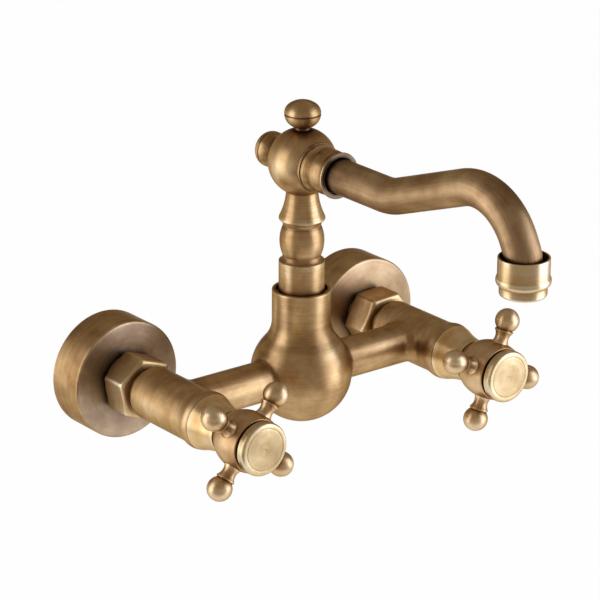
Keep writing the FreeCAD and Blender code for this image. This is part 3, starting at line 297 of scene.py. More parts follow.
# shift moves a finish along its tones, brushed says how strongly brush lines show, and the last how strongly the
# oxide and the painted shade in corners and next to other pieces show
def makeAntiqueBrass(name, shift=0, tones=None, grainAbout=None, anisotropy=0.65, brushed=0.24, oxide=1):
    s = antiqueBrass
    material, tree, shader = newMaterial(
        name, Metallic=1, Anisotropic=anisotropy, Specular_Tint=linear(s["edgeTint"]),
        Coat_Weight=s["lacquer"], Coat_Roughness=s["lacquerRoughness"])
    place = addNode(tree, "ShaderNodeTexCoord").outputs["Object"]
    if grainAbout:
        grain = axisGrain(tree, **grainAbout)
    else:
        grain = addNode(tree, "ShaderNodeAttribute", attribute_name="grain").outputs["Vector"]
        way = addNode(tree, "ShaderNodeAttribute", attribute_name="grainWay").outputs["Vector"]
        way = addNode(tree, "ShaderNodeVectorTransform", {"Vector": way}, vector_type="VECTOR",
                      convert_from="OBJECT", convert_to="WORLD").outputs[0]
        tree.links.new(way, shader.inputs["Tangent"])
    marks = {
        "cloud": addNode(tree, "ShaderNodeTexNoise", {
            "Vector": place, "Scale": 1 / mm / s["cloud"], "Detail": 4, "Roughness": 0.55}).outputs["Fac"],
        "streak": addNode(tree, "ShaderNodeTexNoise", {
            "Vector": grain, "Scale": 1 / s["streak"], "Detail": 3, "Roughness": 0.6}).outputs["Fac"],
        "band": addNode(tree, "ShaderNodeTexNoise", {
            "Vector": grain, "Scale": 1 / s["band"], "Detail": 2}).outputs["Fac"],
        # oxide in a piece's own hollows, and painted shade where pieces meet: a short occlusion darkens the colour
        # in crevices
        "crevice": addNode(tree, "ShaderNodeAmbientOcclusion", {
            "Distance": s["oxideReach"] * mm}, samples=s["oxideSamples"]).outputs["AO"],
        # painted shade: a wide occlusion darkens the colour near corners and next to other pieces
        "shade": addNode(tree, "ShaderNodeAmbientOcclusion", {
            "Distance": s["shadeReach"] * mm}, samples=s["shadeSamples"]).outputs["AO"],
        # lighter on worn edges and darker with oxide in hollows; on the spout also painted shade next to the
        # collar
        "wear": addNode(tree, "ShaderNodeAttribute", attribute_name="wear").outputs["Fac"],
    }
    weights = {**s["weights"], "streak": brushed}
    for mark in ("crevice", "shade"):
        weights[mark] *= oxide
    total = s["usualTone"] + shift - sum(weights[mark] * s["usual"][mark] for mark in marks)
    for mark, socket in marks.items():
        total = addNode(tree, "ShaderNodeMath", {0: socket, 1: weights[mark], 2: total},
                        operation="MULTIPLY_ADD").outputs[0]
    tone = addNode(tree, "ShaderNodeValToRGB", {"Fac": total}, tones=tones or s["tones"])
    tree.links.new(tone.outputs["Color"], shader.inputs["Base Color"])
    rough = addNode(tree, "ShaderNodeMapRange", {
        "Value": total, "From Min": s["roughTones"][0], "From Max": s["roughTones"][1],
        "To Min": s["roughness"][0], "To Max": s["roughness"][1]})
    tree.links.new(rough.outputs["Result"], shader.inputs["Roughness"])
    bump = addNode(tree, "ShaderNodeBump", {
        "Strength": s["bump"], "Distance": s["lineDepth"] * mm, "Height": marks["streak"]})
    tree.links.new(bump.outputs["Normal"], shader.inputs["Normal"])
    return material


turnedBrass = makeAntiqueBrass("antiqueBrassTurned")
flangeBrass = makeAntiqueBrass("antiqueBrassFlange", shift=-0.13)

# the flat face of a flange is brushed less and stays a greyer brown; the cold face is painted lighter and sandier
# than the hot one, painted light, and the collar's lip darker, painted shade
greyTones = [(0.14, "#4E4032"), (0.38, "#8A745E"), (0.60, "#AE957A"), (0.84, "#DCC9AA")]
litSandTones = [(0.14, "#5A4630"), (0.38, "#987D5B"), (0.60, "#B89A77"), (0.84, "#D5BD97")]
faceBrass = {
    "hot": makeAntiqueBrass("hotFaceAntiqueBrass", shift=-0.05, tones=greyTones, brushed=0.1),
    "cold": makeAntiqueBrass("coldFaceAntiqueBrass", shift=-0.01, tones=litSandTones, brushed=0.16, oxide=0.7),
}
# painted shade: the collar's lip is painted darker to tone down the softbox mirrored in it
lipShadeBrass = makeAntiqueBrass("antiqueBrassLip", shift=-0.19, tones=greyTones, brushed=0.1)

# bells, nose and handles are rubbed to a paler gold
bellTones = [(0.14, "#6B482B"), (0.38, "#B68852"), (0.60, "#E0B87C"), (0.84, "#F7E3BC")]
goldTones = [(0.14, "#694C30"), (0.38, "#B08A5A"), (0.60, "#DABA87"), (0.84, "#F4E3C4")]
paleTones = [(0.14, "#6D4E32"), (0.38, "#B78F62"), (0.60, "#DFBE91"), (0.84, "#F5E5CA")]
capTones = [(0.14, "#70573B"), (0.38, "#B6976A"), (0.60, "#DDC498"), (0.84, "#F3E7CD")]
bellBrass = makeAntiqueBrass("antiqueBrassBell", shift=0.11, tones=bellTones, brushed=0.16)
noseBrass = makeAntiqueBrass("antiqueBrassNose", shift=0.12, tones=goldTones, brushed=0.16)
handleBrass = makeAntiqueBrass("antiqueBrassHandle", shift=0.11, tones=paleTones, brushed=0.12)
capBrass = makeAntiqueBrass("antiqueBrassCap", shift=0.01, tones=capTones, anisotropy=0.3, brushed=0.12,
                            oxide=0.5)

# the hot nut is painted lighter and the cold one darker, painted light and painted shade by side; their front
# faces take a paler finish with little painted shade, a painted highlight
nutLitAndShadedBrass = {side: makeAntiqueBrass(side + "NutAntiqueBrass", shift=shift, oxide=0.7)
            for side, shift in (("hot", 0.1), ("cold", -0.03))}
# painted highlight: the nut's front faces are paler and keep little painted shade
nutFaceHighlightBrass = makeAntiqueBrass("antiqueBrassNutFace", shift=0.02, tones=goldTones, brushed=0.12, oxide=0.2)

# the bent spout is brushed along by hand and keeps more of the brown
tubeTones = [(0.14, "#4E3A2A"), (0.38, "#957553"), (0.60, "#BE9D74"), (0.84, "#E2CFAC")]
tubeBrass = makeAntiqueBrass("antiqueBrassTube", tones=tubeTones, brushed=0.3)

# arms and hubs keep the frame's mesh, so their brush lines are laid about the valve axis
armBrass, hubBrass = {}, {}
for side, x in inletX.items():
    aboutValve = {"middle": (x, 0, 0)}
    armBrass[side] = makeAntiqueBrass(side + "ArmAntiqueBrass", anisotropy=0, grainAbout=aboutValve)
    hubBrass[side] = makeAntiqueBrass(side + "HubAntiqueBrass", tones=paleTones, anisotropy=0, brushed=0.12,
                                      grainAbout=aboutValve)


# Machined brass, as turned and hardly seen in use: bright yellow with tool lines, tarnished in patches, with
# painted shade making it dark brown in corners and next to other pieces
machinedBrass = {
    "tarnish": 6.0,  # mm, patches
    "cornerReach": 8.0, "cornerSamples": 6,  # mm, how far painted shade reaches from corners and other pieces
    "toolLine": 0.4, "lineDepth": 0.05, "bump": 0.15,  # mm, finer on the piece and drawn coarser to show
    "roughness": (0.38, 0.22),  # tarnished, bright
    "tones": [(0.05, "#2E2013"), (0.25, "#A8824A"), (0.65, "#D9B873")],
}


def makeRawBrass(name):
    s = machinedBrass
    material, tree, shader = newMaterial(name, Metallic=1)
    place = addNode(tree, "ShaderNodeTexCoord").outputs["Object"]
    tarnish = addNode(tree, "ShaderNodeTexNoise", {
        "Vector": place, "Scale": 1 / mm / s["tarnish"], "Detail": 5}).outputs["Fac"]
    # painted shade: occlusion darkens the colour in corners and next to other pieces, on top of the tarnish
    paintedShadeMask = addNode(tree, "ShaderNodeAmbientOcclusion", {"Distance": s["cornerReach"] * mm},
                    samples=s["cornerSamples"]).outputs["AO"]
    tarnishAndShade = addNode(tree, "ShaderNodeMath", {0: tarnish, 1: paintedShadeMask}, operation="MULTIPLY").outputs[0]
    tone = addNode(tree, "ShaderNodeValToRGB", {"Fac": tarnishAndShade}, tones=s["tones"])
    tree.links.new(tone.outputs["Color"], shader.inputs["Base Color"])
    rough = addNode(tree, "ShaderNodeMapRange", {
        "Value": tarnish, "To Min": s["roughness"][0], "To Max": s["roughness"][1]})
    tree.links.new(rough.outputs["Result"], shader.inputs["Roughness"])
    lines = addNode(tree, "ShaderNodeTexNoise", {
        "Vector": place, "Scale": 1 / mm / s["toolLine"], "Detail": 2}).outputs["Fac"]
    bump = addNode(tree, "ShaderNodeBump", {
        "Strength": s["bump"], "Distance": s["lineDepth"] * mm, "Height": lines})
    tree.links.new(bump.outputs["Normal"], shader.inputs["Normal"])
    return material


# Plain finishes of the inner pieces: tones, range of roughness, grain and its depth in mm
def makePlain(name, tones, roughness, grain, depth, **constants):
    material, tree, shader = newMaterial(name, **constants)
    place = addNode(tree, "ShaderNodeTexCoord").outputs["Object"]
    mottle = addNode(tree, "ShaderNodeTexNoise", {
        "Vector": place, "Scale": 1 / mm / grain, "Detail": 5}).outputs["Fac"]
    tone = addNode(tree, "ShaderNodeValToRGB", {"Fac": mottle}, tones=tones)
    tree.links.new(tone.outputs["Color"], shader.inputs["Base Color"])
    rough = addNode(tree, "ShaderNodeMapRange", {
        "Value": mottle, "To Min": roughness[0], "To Max": roughness[1]})
    tree.links.new(rough.outputs["Result"], shader.inputs["Roughness"])
    bump = addNode(tree, "ShaderNodeBump", {"Strength": 0.2, "Distance": depth * mm, "Height": mottle})
    tree.links.new(bump.outputs["Normal"], shader.inputs["Normal"])
    return material


rawBrass = makeRawBrass("machinedBrass")
slotFinish = {
    "raw_brass": rawBrass,
    # moulded nitrile rubber: near black, soft sheen
    "rubber_seal": makePlain("nitrileRubber", [(0.3, "#141414"), (0.7, "#242322")], roughness=(0.55, 0.75),
                             grain=0.6, depth=0.03, IOR=1.52),
    # lapped alumina: cream white, faintly speckled, very smooth
    "ceramic": makePlain("lappedAlumina", [(0.3, "#E4DFD2"), (0.7, "#F3EFE6")], roughness=(0.18, 0.3),
                         grain=0.5, depth=0.01, IOR=1.77),
    # drawn stainless steel: pale grey with fine pickling marks
    "steel": makePlain("stainlessSteel", [(0.3, "#8F8D89"), (0.7, "#C2C0BB")], roughness=(0.25, 0.4),
                       grain=0.8, depth=0.02, Metallic=1),
    # moulded acetal: milky white and slightly waxy
    "white_plastic": makePlain("acetal", [(0.3, "#DAD8D0"), (0.7, "#ECEAE3")], roughness=(0.35, 0.5),
                               grain=1.5, depth=0.02, IOR=1.48),
}
print("materials made,", len(bpy.data.materials))


# Pieces

def addPiece(node, mesh, finish, place):
    words = node.split("_")
    item = bpy.data.objects.new(words[0] + "".join(word.title() for word in words[1:]), mesh)
    item.matrix_world = place
    bpy.context.scene.collection.objects.link(item)
    mesh.materials.append(finish)
    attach(item, bodyOf[node])
    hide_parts(node)
    return item


def finishFaces(item, finish, leastTilt, bothWays=False):
    # gives the faces that look along the piece's axis, by more than this share, a finish of their own
    item.data.materials.append(finish)
    for face in item.data.polygons:
        tilt = abs(face.normal.z) if bothWays else face.normal.z
        face.material_index = int(tilt > leastTilt)


outFromWall = Matrix.Rotation(quarterTurn, 4, "X")


def inletPlace(side, clock=0):
    turn = Matrix.Rotation(math.radians(clock), 4, "Z")
    return Matrix.Translation((inletX[side], 0, 0)) @ outFromWall @ turn


wallFlange = {"radius": 29.7, "depth": 20.5, "wall": 1.5, "hole": 13.27, "rim": 1.2, "edge": 0.35,
              "faceTilt": 0.9}


def makeWallFlange(side):
    s = wallFlange
    inside, back = s["radius"] - s["wall"], s["depth"] - s["wall"]
    return lathe(side + "Flange", [
        corner(inside, 0, s["edge"]),
        corner(s["radius"], 0, s["edge"]),
        corner(s["radius"], s["depth"], s["rim"]),
        corner(s["hole"], s["depth"], s["edge"]),
        corner(s["hole"], back, s["edge"]),
        corner(inside, back, s["rim"]),
    ], around=192)


# Pipe threads are cut with rounded crests and roots
wallUnion = {"bore": 7, "tailRadius": 10.48, "tailBack": -22, "tailFront": 2, "shoulder": 11.9,
             "threadBack": 10, "threadRadius": 13.22, "front": 31, "pitch": 1.814, "threadDepth": 1.162,
             "lead": 1.2, "stepsPerPitch": 12}


def makeWallUnion(side):
    s = wallUnion

    def thread(radius, back, front, angle):
        count = round((front - back) / s["pitch"] * s["stepsPerPitch"])
        heights = np.linspace(back, front, count + 1)
        wave = 0.5 - 0.5 * np.cos(2 * math.pi * heights / s["pitch"] - angle)
        ends = np.clip(np.minimum(heights - back, front - heights) / s["lead"], 0, 1)
        return radius - s["threadDepth"] * (wave * ends + (1 - ends) * 0.5) + 1j * heights

    def outline(angle):
        return np.concatenate([
            [complex(s["bore"], s["tailBack"])],
            thread(s["tailRadius"], s["tailBack"], s["tailFront"], angle),
            [complex(s["shoulder"], s["tailFront"]), complex(s["shoulder"], s["threadBack"])],
            thread(s["threadRadius"], s["threadBack"], s["front"], angle),
            [complex(s["bore"], s["front"])],
        ])

    return lathe(side + "Union", outline, around=96)


unionNut = {"back": 22.8, "front": 38, "bore": 13.27, "flat": 14.4, "cornerTrim": 0.28, "cornerBlend": 0.12,
            "backBevelShare": 0.4, "frontBevelShare": 0.5, "lip": 11.45, "lipBack": 35.4, "edge": 0.3,
            "clock": {"hot": 40, "cold": 63}, "faceTilt": 0.4}


def makeUnionNut(side):
    s = unionNut
    half = math.pi / 6  # half the angle that one side of a hexagon takes
    limit = s["flat"] / math.cos(half) - s["cornerTrim"]

    def outline(angle):
        off = (angle + half) % (2 * half) - half  # from the nearest corner
        flatSide = s["flat"] / math.cos(half - abs(off))
        r = limit - s["cornerBlend"] * math.log1p(math.exp((limit - flatSide) / s["cornerBlend"]))
        return trace([
            corner(s["bore"], s["back"], s["edge"]),
            corner(r, s["back"], s["backBevelShare"] * (r - s["bore"])),
            corner(r, s["front"], s["frontBevelShare"] * (r - s["lip"])),
            corner(s["lip"], s["front"], s["edge"]),
            corner(s["lip"], s["lipBack"], s["edge"]),
            corner(s["bore"], s["lipBack"], s["edge"]),
        ])

    return lathe(side + "Nut", outline, around=240)


inletNipple = {"bore": 7, "collarBack": 33, "collar": 12.97, "collarFront": 35.4, "neck": 11.4,
               "neckFront": 41, "thread": 9.9, "front": 50, "edge": 0.3}


def makeInletNipple(side):
    s = inletNipple
    return lathe(side + "Nipple", [
        corner(s["bore"], s["collarBack"], s["edge"]),
        corner(s["collar"], s["collarBack"], s["edge"]),
        corner(s["collar"], s["collarFront"], s["edge"]),
        corner(s["neck"], s["collarFront"]),
        corner(s["neck"], s["neckFront"], s["edge"]),
        corner(s["thread"], s["neckFront"]),
        corner(s["thread"], s["front"], s["edge"]),
        corner(s["bore"], s["front"], s["edge"]),
    ])


bellShroud = {"back": 88.35, "base": 13.9, "neck": 10.9, "neckBack": 101.2, "front": 104.15, "sweep": 48,
              "wall": 1.5, "hole": 7.55, "web": 2, "edge": 0.3, "rim": 0.4}


def makeBellShroud(side):
    s = bellShroud
    return lathe(side + "Bell", [
        bow(s["base"] - s["wall"], s["back"], s["sweep"], s["edge"]),
        corner(s["base"], s["back"], s["edge"]),
        bow(s["neck"], s["neckBack"], -s["sweep"]),
        corner(s["neck"], s["front"], s["rim"]),
        corner(s["hole"], s["front"], s["edge"]),
        corner(s["hole"], s["front"] - s["web"], s["edge"]),
        corner(s["neck"] - s["wall"], s["front"] - s["web"], s["edge"]),
    ], around=144)


spoke = {"out": 117.6, "root": 11.35, "screw": 2.5, "seat": 13.75, "foot": 4.4, "cove": 5.0,
         "coveEnd": 19.7, "ring": 4.7, "ringSweep": 1.2, "ringEnd": 20.9, "ballRoot": 3.97, "ball": 6.08,
         "ballAt": 25.5, "edge": 0.22, "count": 4, "clock": {"hot": 50, "cold": 68}}


def makeSpoke(name):
    s = spoke
    return lathe(name + "Spoke", [
        corner(0, s["root"]),
        corner(s["screw"], s["root"], s["edge"]),
        corner(s["screw"], s["seat"]),
        corner(s["foot"], s["seat"], s["edge"]),
        bow(s["foot"], s["coveEnd"], -s["cove"], s["edge"]),
        bow(s["ring"], (s["coveEnd"] + s["ringEnd"]) / 2, s["ringSweep"]),
        bow(s["ballRoot"], s["ringEnd"], s["ringSweep"], s["edge"]),
        bow(s["ball"], s["ballAt"], s["ball"]),
        bow(0, s["ballAt"] + s["ball"], s["ball"]),
    ], around=72)


# A ring line and a small dot in the middle are turned into its front
handleCap = {"radius": 13.1, "back": 126.7, "front": 130.9, "round": 2.0, "skirt": 10.45,
             "skirtBack": 121.2, "inside": 8.55, "ceiling": 129.0, "line": 10.27, "lineWidth": 0.9,
             "lineDepth": 0.12, "dot": 0.7, "edge": 0.3, "lineEdge": 0.2}


def makeHandleCap(side):
    s = handleCap
    floor, half = s["front"] - s["lineDepth"], s["lineWidth"] / 2
    return lathe(side + "Cap", [
        corner(s["inside"], s["skirtBack"], s["edge"]),
        corner(s["skirt"], s["skirtBack"], s["edge"]),
        corner(s["skirt"], s["back"]),
        corner(s["radius"], s["back"], s["edge"]),
        corner(s["radius"], s["front"], s["round"]),
        corner(s["line"] + half, s["front"], s["lineEdge"]),
        corner(s["line"], floor, s["lineEdge"]),
        corner(s["line"] - half, s["front"], s["lineEdge"]),
        corner(s["dot"], s["front"], s["lineEdge"]),
        corner(0, floor),
        corner(0, s["ceiling"]),
        corner(s["inside"], s["ceiling"], s["edge"]),
    ], around=144)


for side in inletX:
    flange = addPiece(side + "_wall_flange", makeWallFlange(side), flangeBrass, inletPlace(side))
    finishFaces(flange, faceBrass[side], wallFlange["faceTilt"], bothWays=True)
    addPiece(side + "_wall_union", makeWallUnion(side), rawBrass, inletPlace(side))
    nutPlace = inletPlace(side, unionNut["clock"][side])
    nut = addPiece(side + "_union_nut", makeUnionNut(side), nutLitAndShadedBrass[side], nutPlace)
    # the nut's forward faces take the paler finish, a painted highlight
    finishFaces(nut, nutFaceHighlightBrass, unionNut["faceTilt"])
    addPiece(side + "_inlet_nipple", makeInletNipple(side), turnedBrass, inletPlace(side))
    addPiece(side + "_bell_shroud", makeBellShroud(side), bellBrass, inletPlace(side))
    hubMiddle = inletPlace(side) @ Matrix.Translation((0, 0, spoke["out"] * mm))
    lieDown = Matrix.Rotation(quarterTurn, 4, "Y")
    for number in range(1, spoke["count"] + 1):
        clock = spoke["clock"][side] + (number - 1) * 360 / spoke["count"]
        addPiece(f"{side}_spoke_{number}", makeSpoke(f"{side}{number}"), handleBrass,
                 hubMiddle @ Matrix.Rotation(math.radians(clock), 4, "Z") @ lieDown)
    addPiece(side + "_handle_cap", makeHandleCap(side), capBrass, inletPlace(side))
print("inlets and handles made")


mixingBulb = {"radius": 25, "wall": 4, "neck": 14.5, "blend": 15, "meet": (18.44, 16.88),
              "blendTop": 27.01, "top": 43.2, "rim": 0.9, "recess": 12.6, "floor": 39.0, "bore": 10.6,
              "boreFoot": 18.13, "edge": 0.3}


def makeMixingBulb():
    s = mixingBulb
    cavity = s["radius"] - s["wall"]
    return lathe("bulb", [
        corner(0, -s["radius"]),
        bow(s["radius"], 0, s["radius"]),
        bow(*s["meet"], s["radius"]),
        bow(s["neck"], s["blendTop"], -s["blend"]),
        corner(s["neck"], s["top"], s["rim"]),
        corner(s["recess"], s["top"], s["edge"]),
        corner(s["recess"], s["floor"], s["edge"]),
        corner(s["bore"], s["floor"], s["edge"]),
        corner(s["bore"], s["boreFoot"]),
        bow(cavity, 0, -cavity),
        bow(0, -cavity, -cavity),
    ], around=192)


# A groove is given as the middle of its height, half its width and the radius of its floor
pillar = {"bore": 5.5, "stem": 10.5, "foot": 14.63, "snapGroove": (16.33, 0.65, 9.25),
          "sealGrooves": ((25.02, 0.95, 8.65), (31.49, 0.95, 8.65)), "collarFoot": 40.25, "collar": 11.25,
          "collarTop": 57.7, "cove": (9.3, 60.4), "coveSweep": 2.9, "bulge": (10.9, 68.05),
          "bulgeSweep": 19.1, "groove": (9.2, 75.7), "grooveSweep": 18.1, "lip": (11.3, 78.9), "lipSweep": 5,
          "lipTop": 79.8, "top": (7.75, 92.9), "topSweep": 34, "spigot": 7, "spigotTop": 96.9, "edge": 0.35}


def makePillar():
    s = pillar
    grooves = []
    for middle, half, floor in (s["snapGroove"], *s["sealGrooves"]):
        grooves += [corner(s["stem"], middle - half), corner(floor, middle - half),
                    corner(floor, middle + half), corner(s["stem"], middle + half)]
    return lathe("pillar", [
        corner(s["bore"], s["foot"], s["edge"]),
        corner(s["stem"], s["foot"], s["edge"]),
        *grooves,
        corner(s["stem"], s["collarFoot"]),
        corner(s["collar"], s["collarFoot"], s["edge"]),
        corner(s["collar"], s["collarTop"], s["edge"]),
        bow(*s["cove"], -s["coveSweep"], s["edge"]),
        bow(*s["bulge"], s["bulgeSweep"]),
        bow(*s["groove"], s["grooveSweep"], s["edge"]),
        bow(*s["lip"], -s["lipSweep"], s["edge"]),
        corner(s["lip"][0], s["lipTop"], s["edge"]),
        bow(*s["top"], -s["topSweep"]),
        corner(s["spigot"], s["top"][1]),
        corner(s["spigot"], s["spigotTop"], s["edge"]),
        corner(s["bore"], s["spigotTop"], s["edge"]),
    ], around=144)


finial = {"threadEnd": 12.26, "thread": 3, "seat": 16.26, "neck": 3.8, "neckTop": 17.36, "radius": 8.85,
          "line": 23.86, "lineHalf": 0.4, "lineDepth": 0.45, "underSweep": 7, "shoulder": (6.63, 28.52),
          "shoulderSweep": 5.2, "top": 30.61, "domeSweep": 11.56, "edge": 0.15}


def makeFinial(name):
    s = finial
    return lathe(name, [
        corner(0, s["threadEnd"]),
        corner(s["thread"], s["threadEnd"], s["edge"]),
        corner(s["thread"], s["seat"]),
        corner(s["neck"], s["seat"]),
        corner(s["neck"], s["neckTop"], s["edge"]),
        bow(s["radius"], s["line"] - s["lineHalf"], s["underSweep"], s["edge"]),
        corner(s["radius"] - s["lineDepth"], s["line"], s["edge"]),
        corner(s["radius"], s["line"] + s["lineHalf"], s["edge"]),
        bow(*s["shoulder"], s["shoulderSweep"]),
        bow(0, s["top"], s["domeSweep"]),
    ], around=96)


spoutCollar = {"hole": 8.65, "seat": 11.51, "first": 12.1, "line": 13.16, "lineHalf": 0.3,
               "lineFloor": 11.55, "second": 11.8, "ringEnd": 14.81, "waist": (10.5, 17.21),
               "bandEnd": 25.01, "bandSweep": 14, "lip": 11.4, "lipSweep": 5, "front": 29.01,
               "lipRound": 0.9, "recess": 9.1, "recessBack": 26.01, "edge": 0.3, "lineEdge": 0.12,
               "faceTilt": 0.5}


def makeSpoutCollar():
    s = spoutCollar
    return lathe("collar", [
        corner(s["hole"], s["seat"]),
        corner(s["first"], s["seat"], s["lineEdge"]),
        corner(s["first"], s["line"] - s["lineHalf"], s["lineEdge"]),
        corner(s["lineFloor"], s["line"], s["lineEdge"]),
        corner(s["second"], s["line"] + s["lineHalf"], s["lineEdge"]),
        corner(s["second"], s["ringEnd"], s["edge"]),
        corner(*s["waist"], s["edge"]),
        bow(s["waist"][0], s["bandEnd"], s["bandSweep"], s["edge"]),
        bow(s["lip"], s["front"] - s["lipRound"], -s["lipSweep"]),
        bow(s["lip"] - s["lipRound"], s["front"], s["lipRound"]),
        corner(s["recess"], s["front"], s["lineEdge"]),
        corner(s["recess"], s["recessBack"], s["edge"]),
        corner(s["hole"], s["recessBack"], s["lineEdge"]),
    ], around=144)


# The spout's centre line: corners out from and up from the ball's centre, with the radius of each bend
spoutTube = {"radius": 8.6, "wall": 1.2, "start": (10.31, 0), "end": (159.6, -12.58),
             "bends": ((67.5, 0, 32), (143.3, 27.14, 31), (159.6, -4.17, 16.6)),
             "around": 96, "degreesPerStep": 2.5, "leastSteps": 6, "longestStep": 4,
             "mouth": 18.7, "oxideFade": 7, "oxide": 1.1}  # brown oxide and painted shade on the stretch next to the collar


def spoutLine():
    s = spoutTube
    marks = [complex(*s["start"]), *[complex(x, y) for x, y, _ in s["bends"]], complex(*s["end"])]
    line = [marks[0]]
    for before, at, after, (_, _, radius) in zip(marks, marks[1:], marks[2:], s["bends"]):
        wayIn, wayOut = (at - before) / abs(at - before), (after - at) / abs(after - at)
        turn = np.angle(wayOut / wayIn)
        reach = radius * math.tan(abs(turn) / 2)
        steps = max(s["leastSteps"], math.ceil(abs(math.degrees(turn)) / s["degreesPerStep"]))
        spin = np.exp(1j * turn * np.linspace(0, 1, steps + 1))
        line += list(at - wayIn * reach + (wayIn + wayOut) * reach * (spin - 1) / (spin[-1] - 1))
    line.append(marks[-1])
    full = [line[0]]
    for start, end in zip(line, line[1:]):
        steps = max(1, math.ceil(abs(end - start) / s["longestStep"]))
        full += [start + (end - start) * k / steps for k in range(1, steps + 1)]
    return np.array(full)


def makeSpoutTube():
    s = spoutTube
    line = spoutLine()
    step = np.gradient(line)
    way = step / abs(step)
    along = np.concatenate([[0], np.cumsum(abs(np.diff(line)))])
    angles = np.arange(s["around"]) * 2 * math.pi / s["around"]
    c, n = np.cos(angles), np.sin(angles)
    inner, there = s["radius"] - s["wall"], range(len(line))
    walls = [(i, s["radius"]) for i in there] + [(i, inner) for i in reversed(there)]
    rings, grain, wear, grainWay = [], [], [], []
    for i, r in walls:
        lift = 1j * way[i]  # square to the line, in its plane
        middle = np.array([0, -line[i].real, line[i].imag])
        up = np.array([0, -lift.real, lift.imag])
        # painted shade with brown oxide: the tube is darkened next to the collar, fading further along
        oxide = s["oxide"] * math.exp(-max(0, along[i] - s["mouth"]) / s["oxideFade"])
        rings.append(middle + r * (np.outer(c, [1, 0, 0]) + np.outer(n, up)))
        grain.append(np.stack([r * c, r * n, np.full(len(angles), along[i] / brushing["stretch"])], 1))
        wear.append(np.full(len(angles), -oxide))
        grainWay.append(np.outer(-n, [1, 0, 0]) + np.outer(c, up))
    return skin("tube", rings, grain, wear, grainWay)


aeratorShell = {"outlet": 8.95, "bottom": -8.8, "flat": 9.7, "foot": 10.9, "footRound": 1.5,
                "beadFoot": -4.1, "bead": 11.9, "beadTop": 0.6, "beadSweep": 3.1, "rim": 9.4,
                "rimBevel": 0.4, "bore": 10.95, "ledge": -3.0, "edge": 0.25}


def makeAeratorShell():
    s = aeratorShell
    return lathe("aerator", [
        corner(s["outlet"], s["bottom"], s["edge"]),
        corner(s["flat"], s["bottom"]),
        bow(s["foot"], s["bottom"] + s["footRound"], s["footRound"]),
        corner(s["foot"], s["beadFoot"], s["edge"]),
        bow(s["bead"], s["beadTop"], s["beadSweep"], s["edge"]),
        corner(s["bead"], s["rim"], s["rimBevel"]),
        corner(s["bore"], s["rim"], s["edge"]),
        corner(s["bore"], s["ledge"], s["edge"]),
        corner(s["outlet"], s["ledge"], s["edge"]),
    ], around=144)


# Silver solder drawn into the corner where a cross tube enters the bulb
braze = {"tube": 10.1, "fillet": 3.2, "bury": 1.2}


def makeBraze(side):
    s = braze
    ball = mixingBulb["radius"]
    out = math.sqrt((ball + s["fillet"]) ** 2 - (s["tube"] + s["fillet"]) ** 2)
    share = ball / (ball + s["fillet"])
    foot = ((s["tube"] + s["fillet"]) * share, out * share)
    inside = s["tube"] - s["bury"]
    return lathe(side + "Braze", [
        corner(inside, foot[1] - s["bury"]),
        corner(*foot),
        bow(s["tube"], out, -s["fillet"]),
        corner(inside, out),
    ], around=144)


ballHead = {"up": 107.69, "radius": 16.7}
middlePlace = Matrix.Translation((0, swivelY, 0))
ballMiddle = Vector((0, swivelY, ballHead["up"] * mm))
headPlace = Matrix.Translation(ballMiddle)
nosePlace = headPlace @ Matrix.Translation((0, -spoutTube["end"][0] * mm, spoutTube["end"][1] * mm))
backFromBall = headPlace @ Matrix.Rotation(-quarterTurn, 4, "X")

addPiece("mixing_bulb", makeMixingBulb(), turnedBrass, middlePlace)
addPiece("pillar", makePillar(), turnedBrass, middlePlace)
addPiece("top_finial", makeFinial("topFinial"), turnedBrass, headPlace)
addPiece("rear_finial", makeFinial("rearFinial"), turnedBrass, backFromBall)
collar = addPiece("spout_collar", makeSpoutCollar(), turnedBrass, headPlace @ outFromWall)
# the lip's forward faces take the darker finish, painted shade
finishFaces(collar, lipShadeBrass, spoutCollar["faceTilt"])
addPiece("spout_tube", makeSpoutTube(), tubeBrass, headPlace)
addPiece("aerator_shell", makeAeratorShell(), noseBrass, nosePlace)
for side, turn in (("hot", -quarterTurn), ("cold", quarterTurn)):
    ring = bpy.data.objects.new(side + "BrazeFillet", makeBraze(side))
    ring.matrix_world = middlePlace @ Matrix.Rotation(turn, 4, "Y")
    bpy.context.scene.collection.objects.link(ring)
    ring.data.materials.append(flangeBrass)
    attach(ring, bodyOf["mixing_bulb"])
print("body and spout made")

# The frame's own pieces keep their shape and take a finish
aboutBall = {"middle": ballMiddle, "ballRadius": ballHead["radius"] * mm}
keptBrass = {"ball_head": makeAntiqueBrass("ballAntiqueBrass", anisotropy=0, grainAbout=aboutBall)}
for side in inletX:
    keptBrass[side + "_valve_arm"] = armBrass[side]
    keptBrass[side + "_handle_hub"] = hubBrass[side]
for node, item in frame["nodes"].items():
    if item.hide_render:
        continue
    for materialSlot in item.material_slots:
        slotName = materialSlot.material.name.split(".")[0]
        materialSlot.material = keptBrass[node] if node in keptBrass else slotFinish[slotName]
print("finishes set on the frame's pieces")


# Stage, light and camera

# Where the photograph was taken from: degrees, metres, and the lens as pixels of the square picture
photoView = {"azimuth": -38.065, "elevation": 20.358, "roll": 0.328, "distance": 1.5675,
             "target": (0, -0.06, 0.03844), "across": 0.00035, "up": -0.002064,
             "focalPixels": 3219.46, "framePixels": 600, "sensor": 36, "clip": (0.05, 50)}


def viewAxes():
    a, e = math.radians(photoView["azimuth"]), math.radians(photoView["elevation"])
    back = Vector((math.sin(a) * math.cos(e), -math.cos(a) * math.cos(e), math.sin(e)))
    across = Vector((math.cos(a), math.sin(a), 0))
    return across, back.cross(across), back


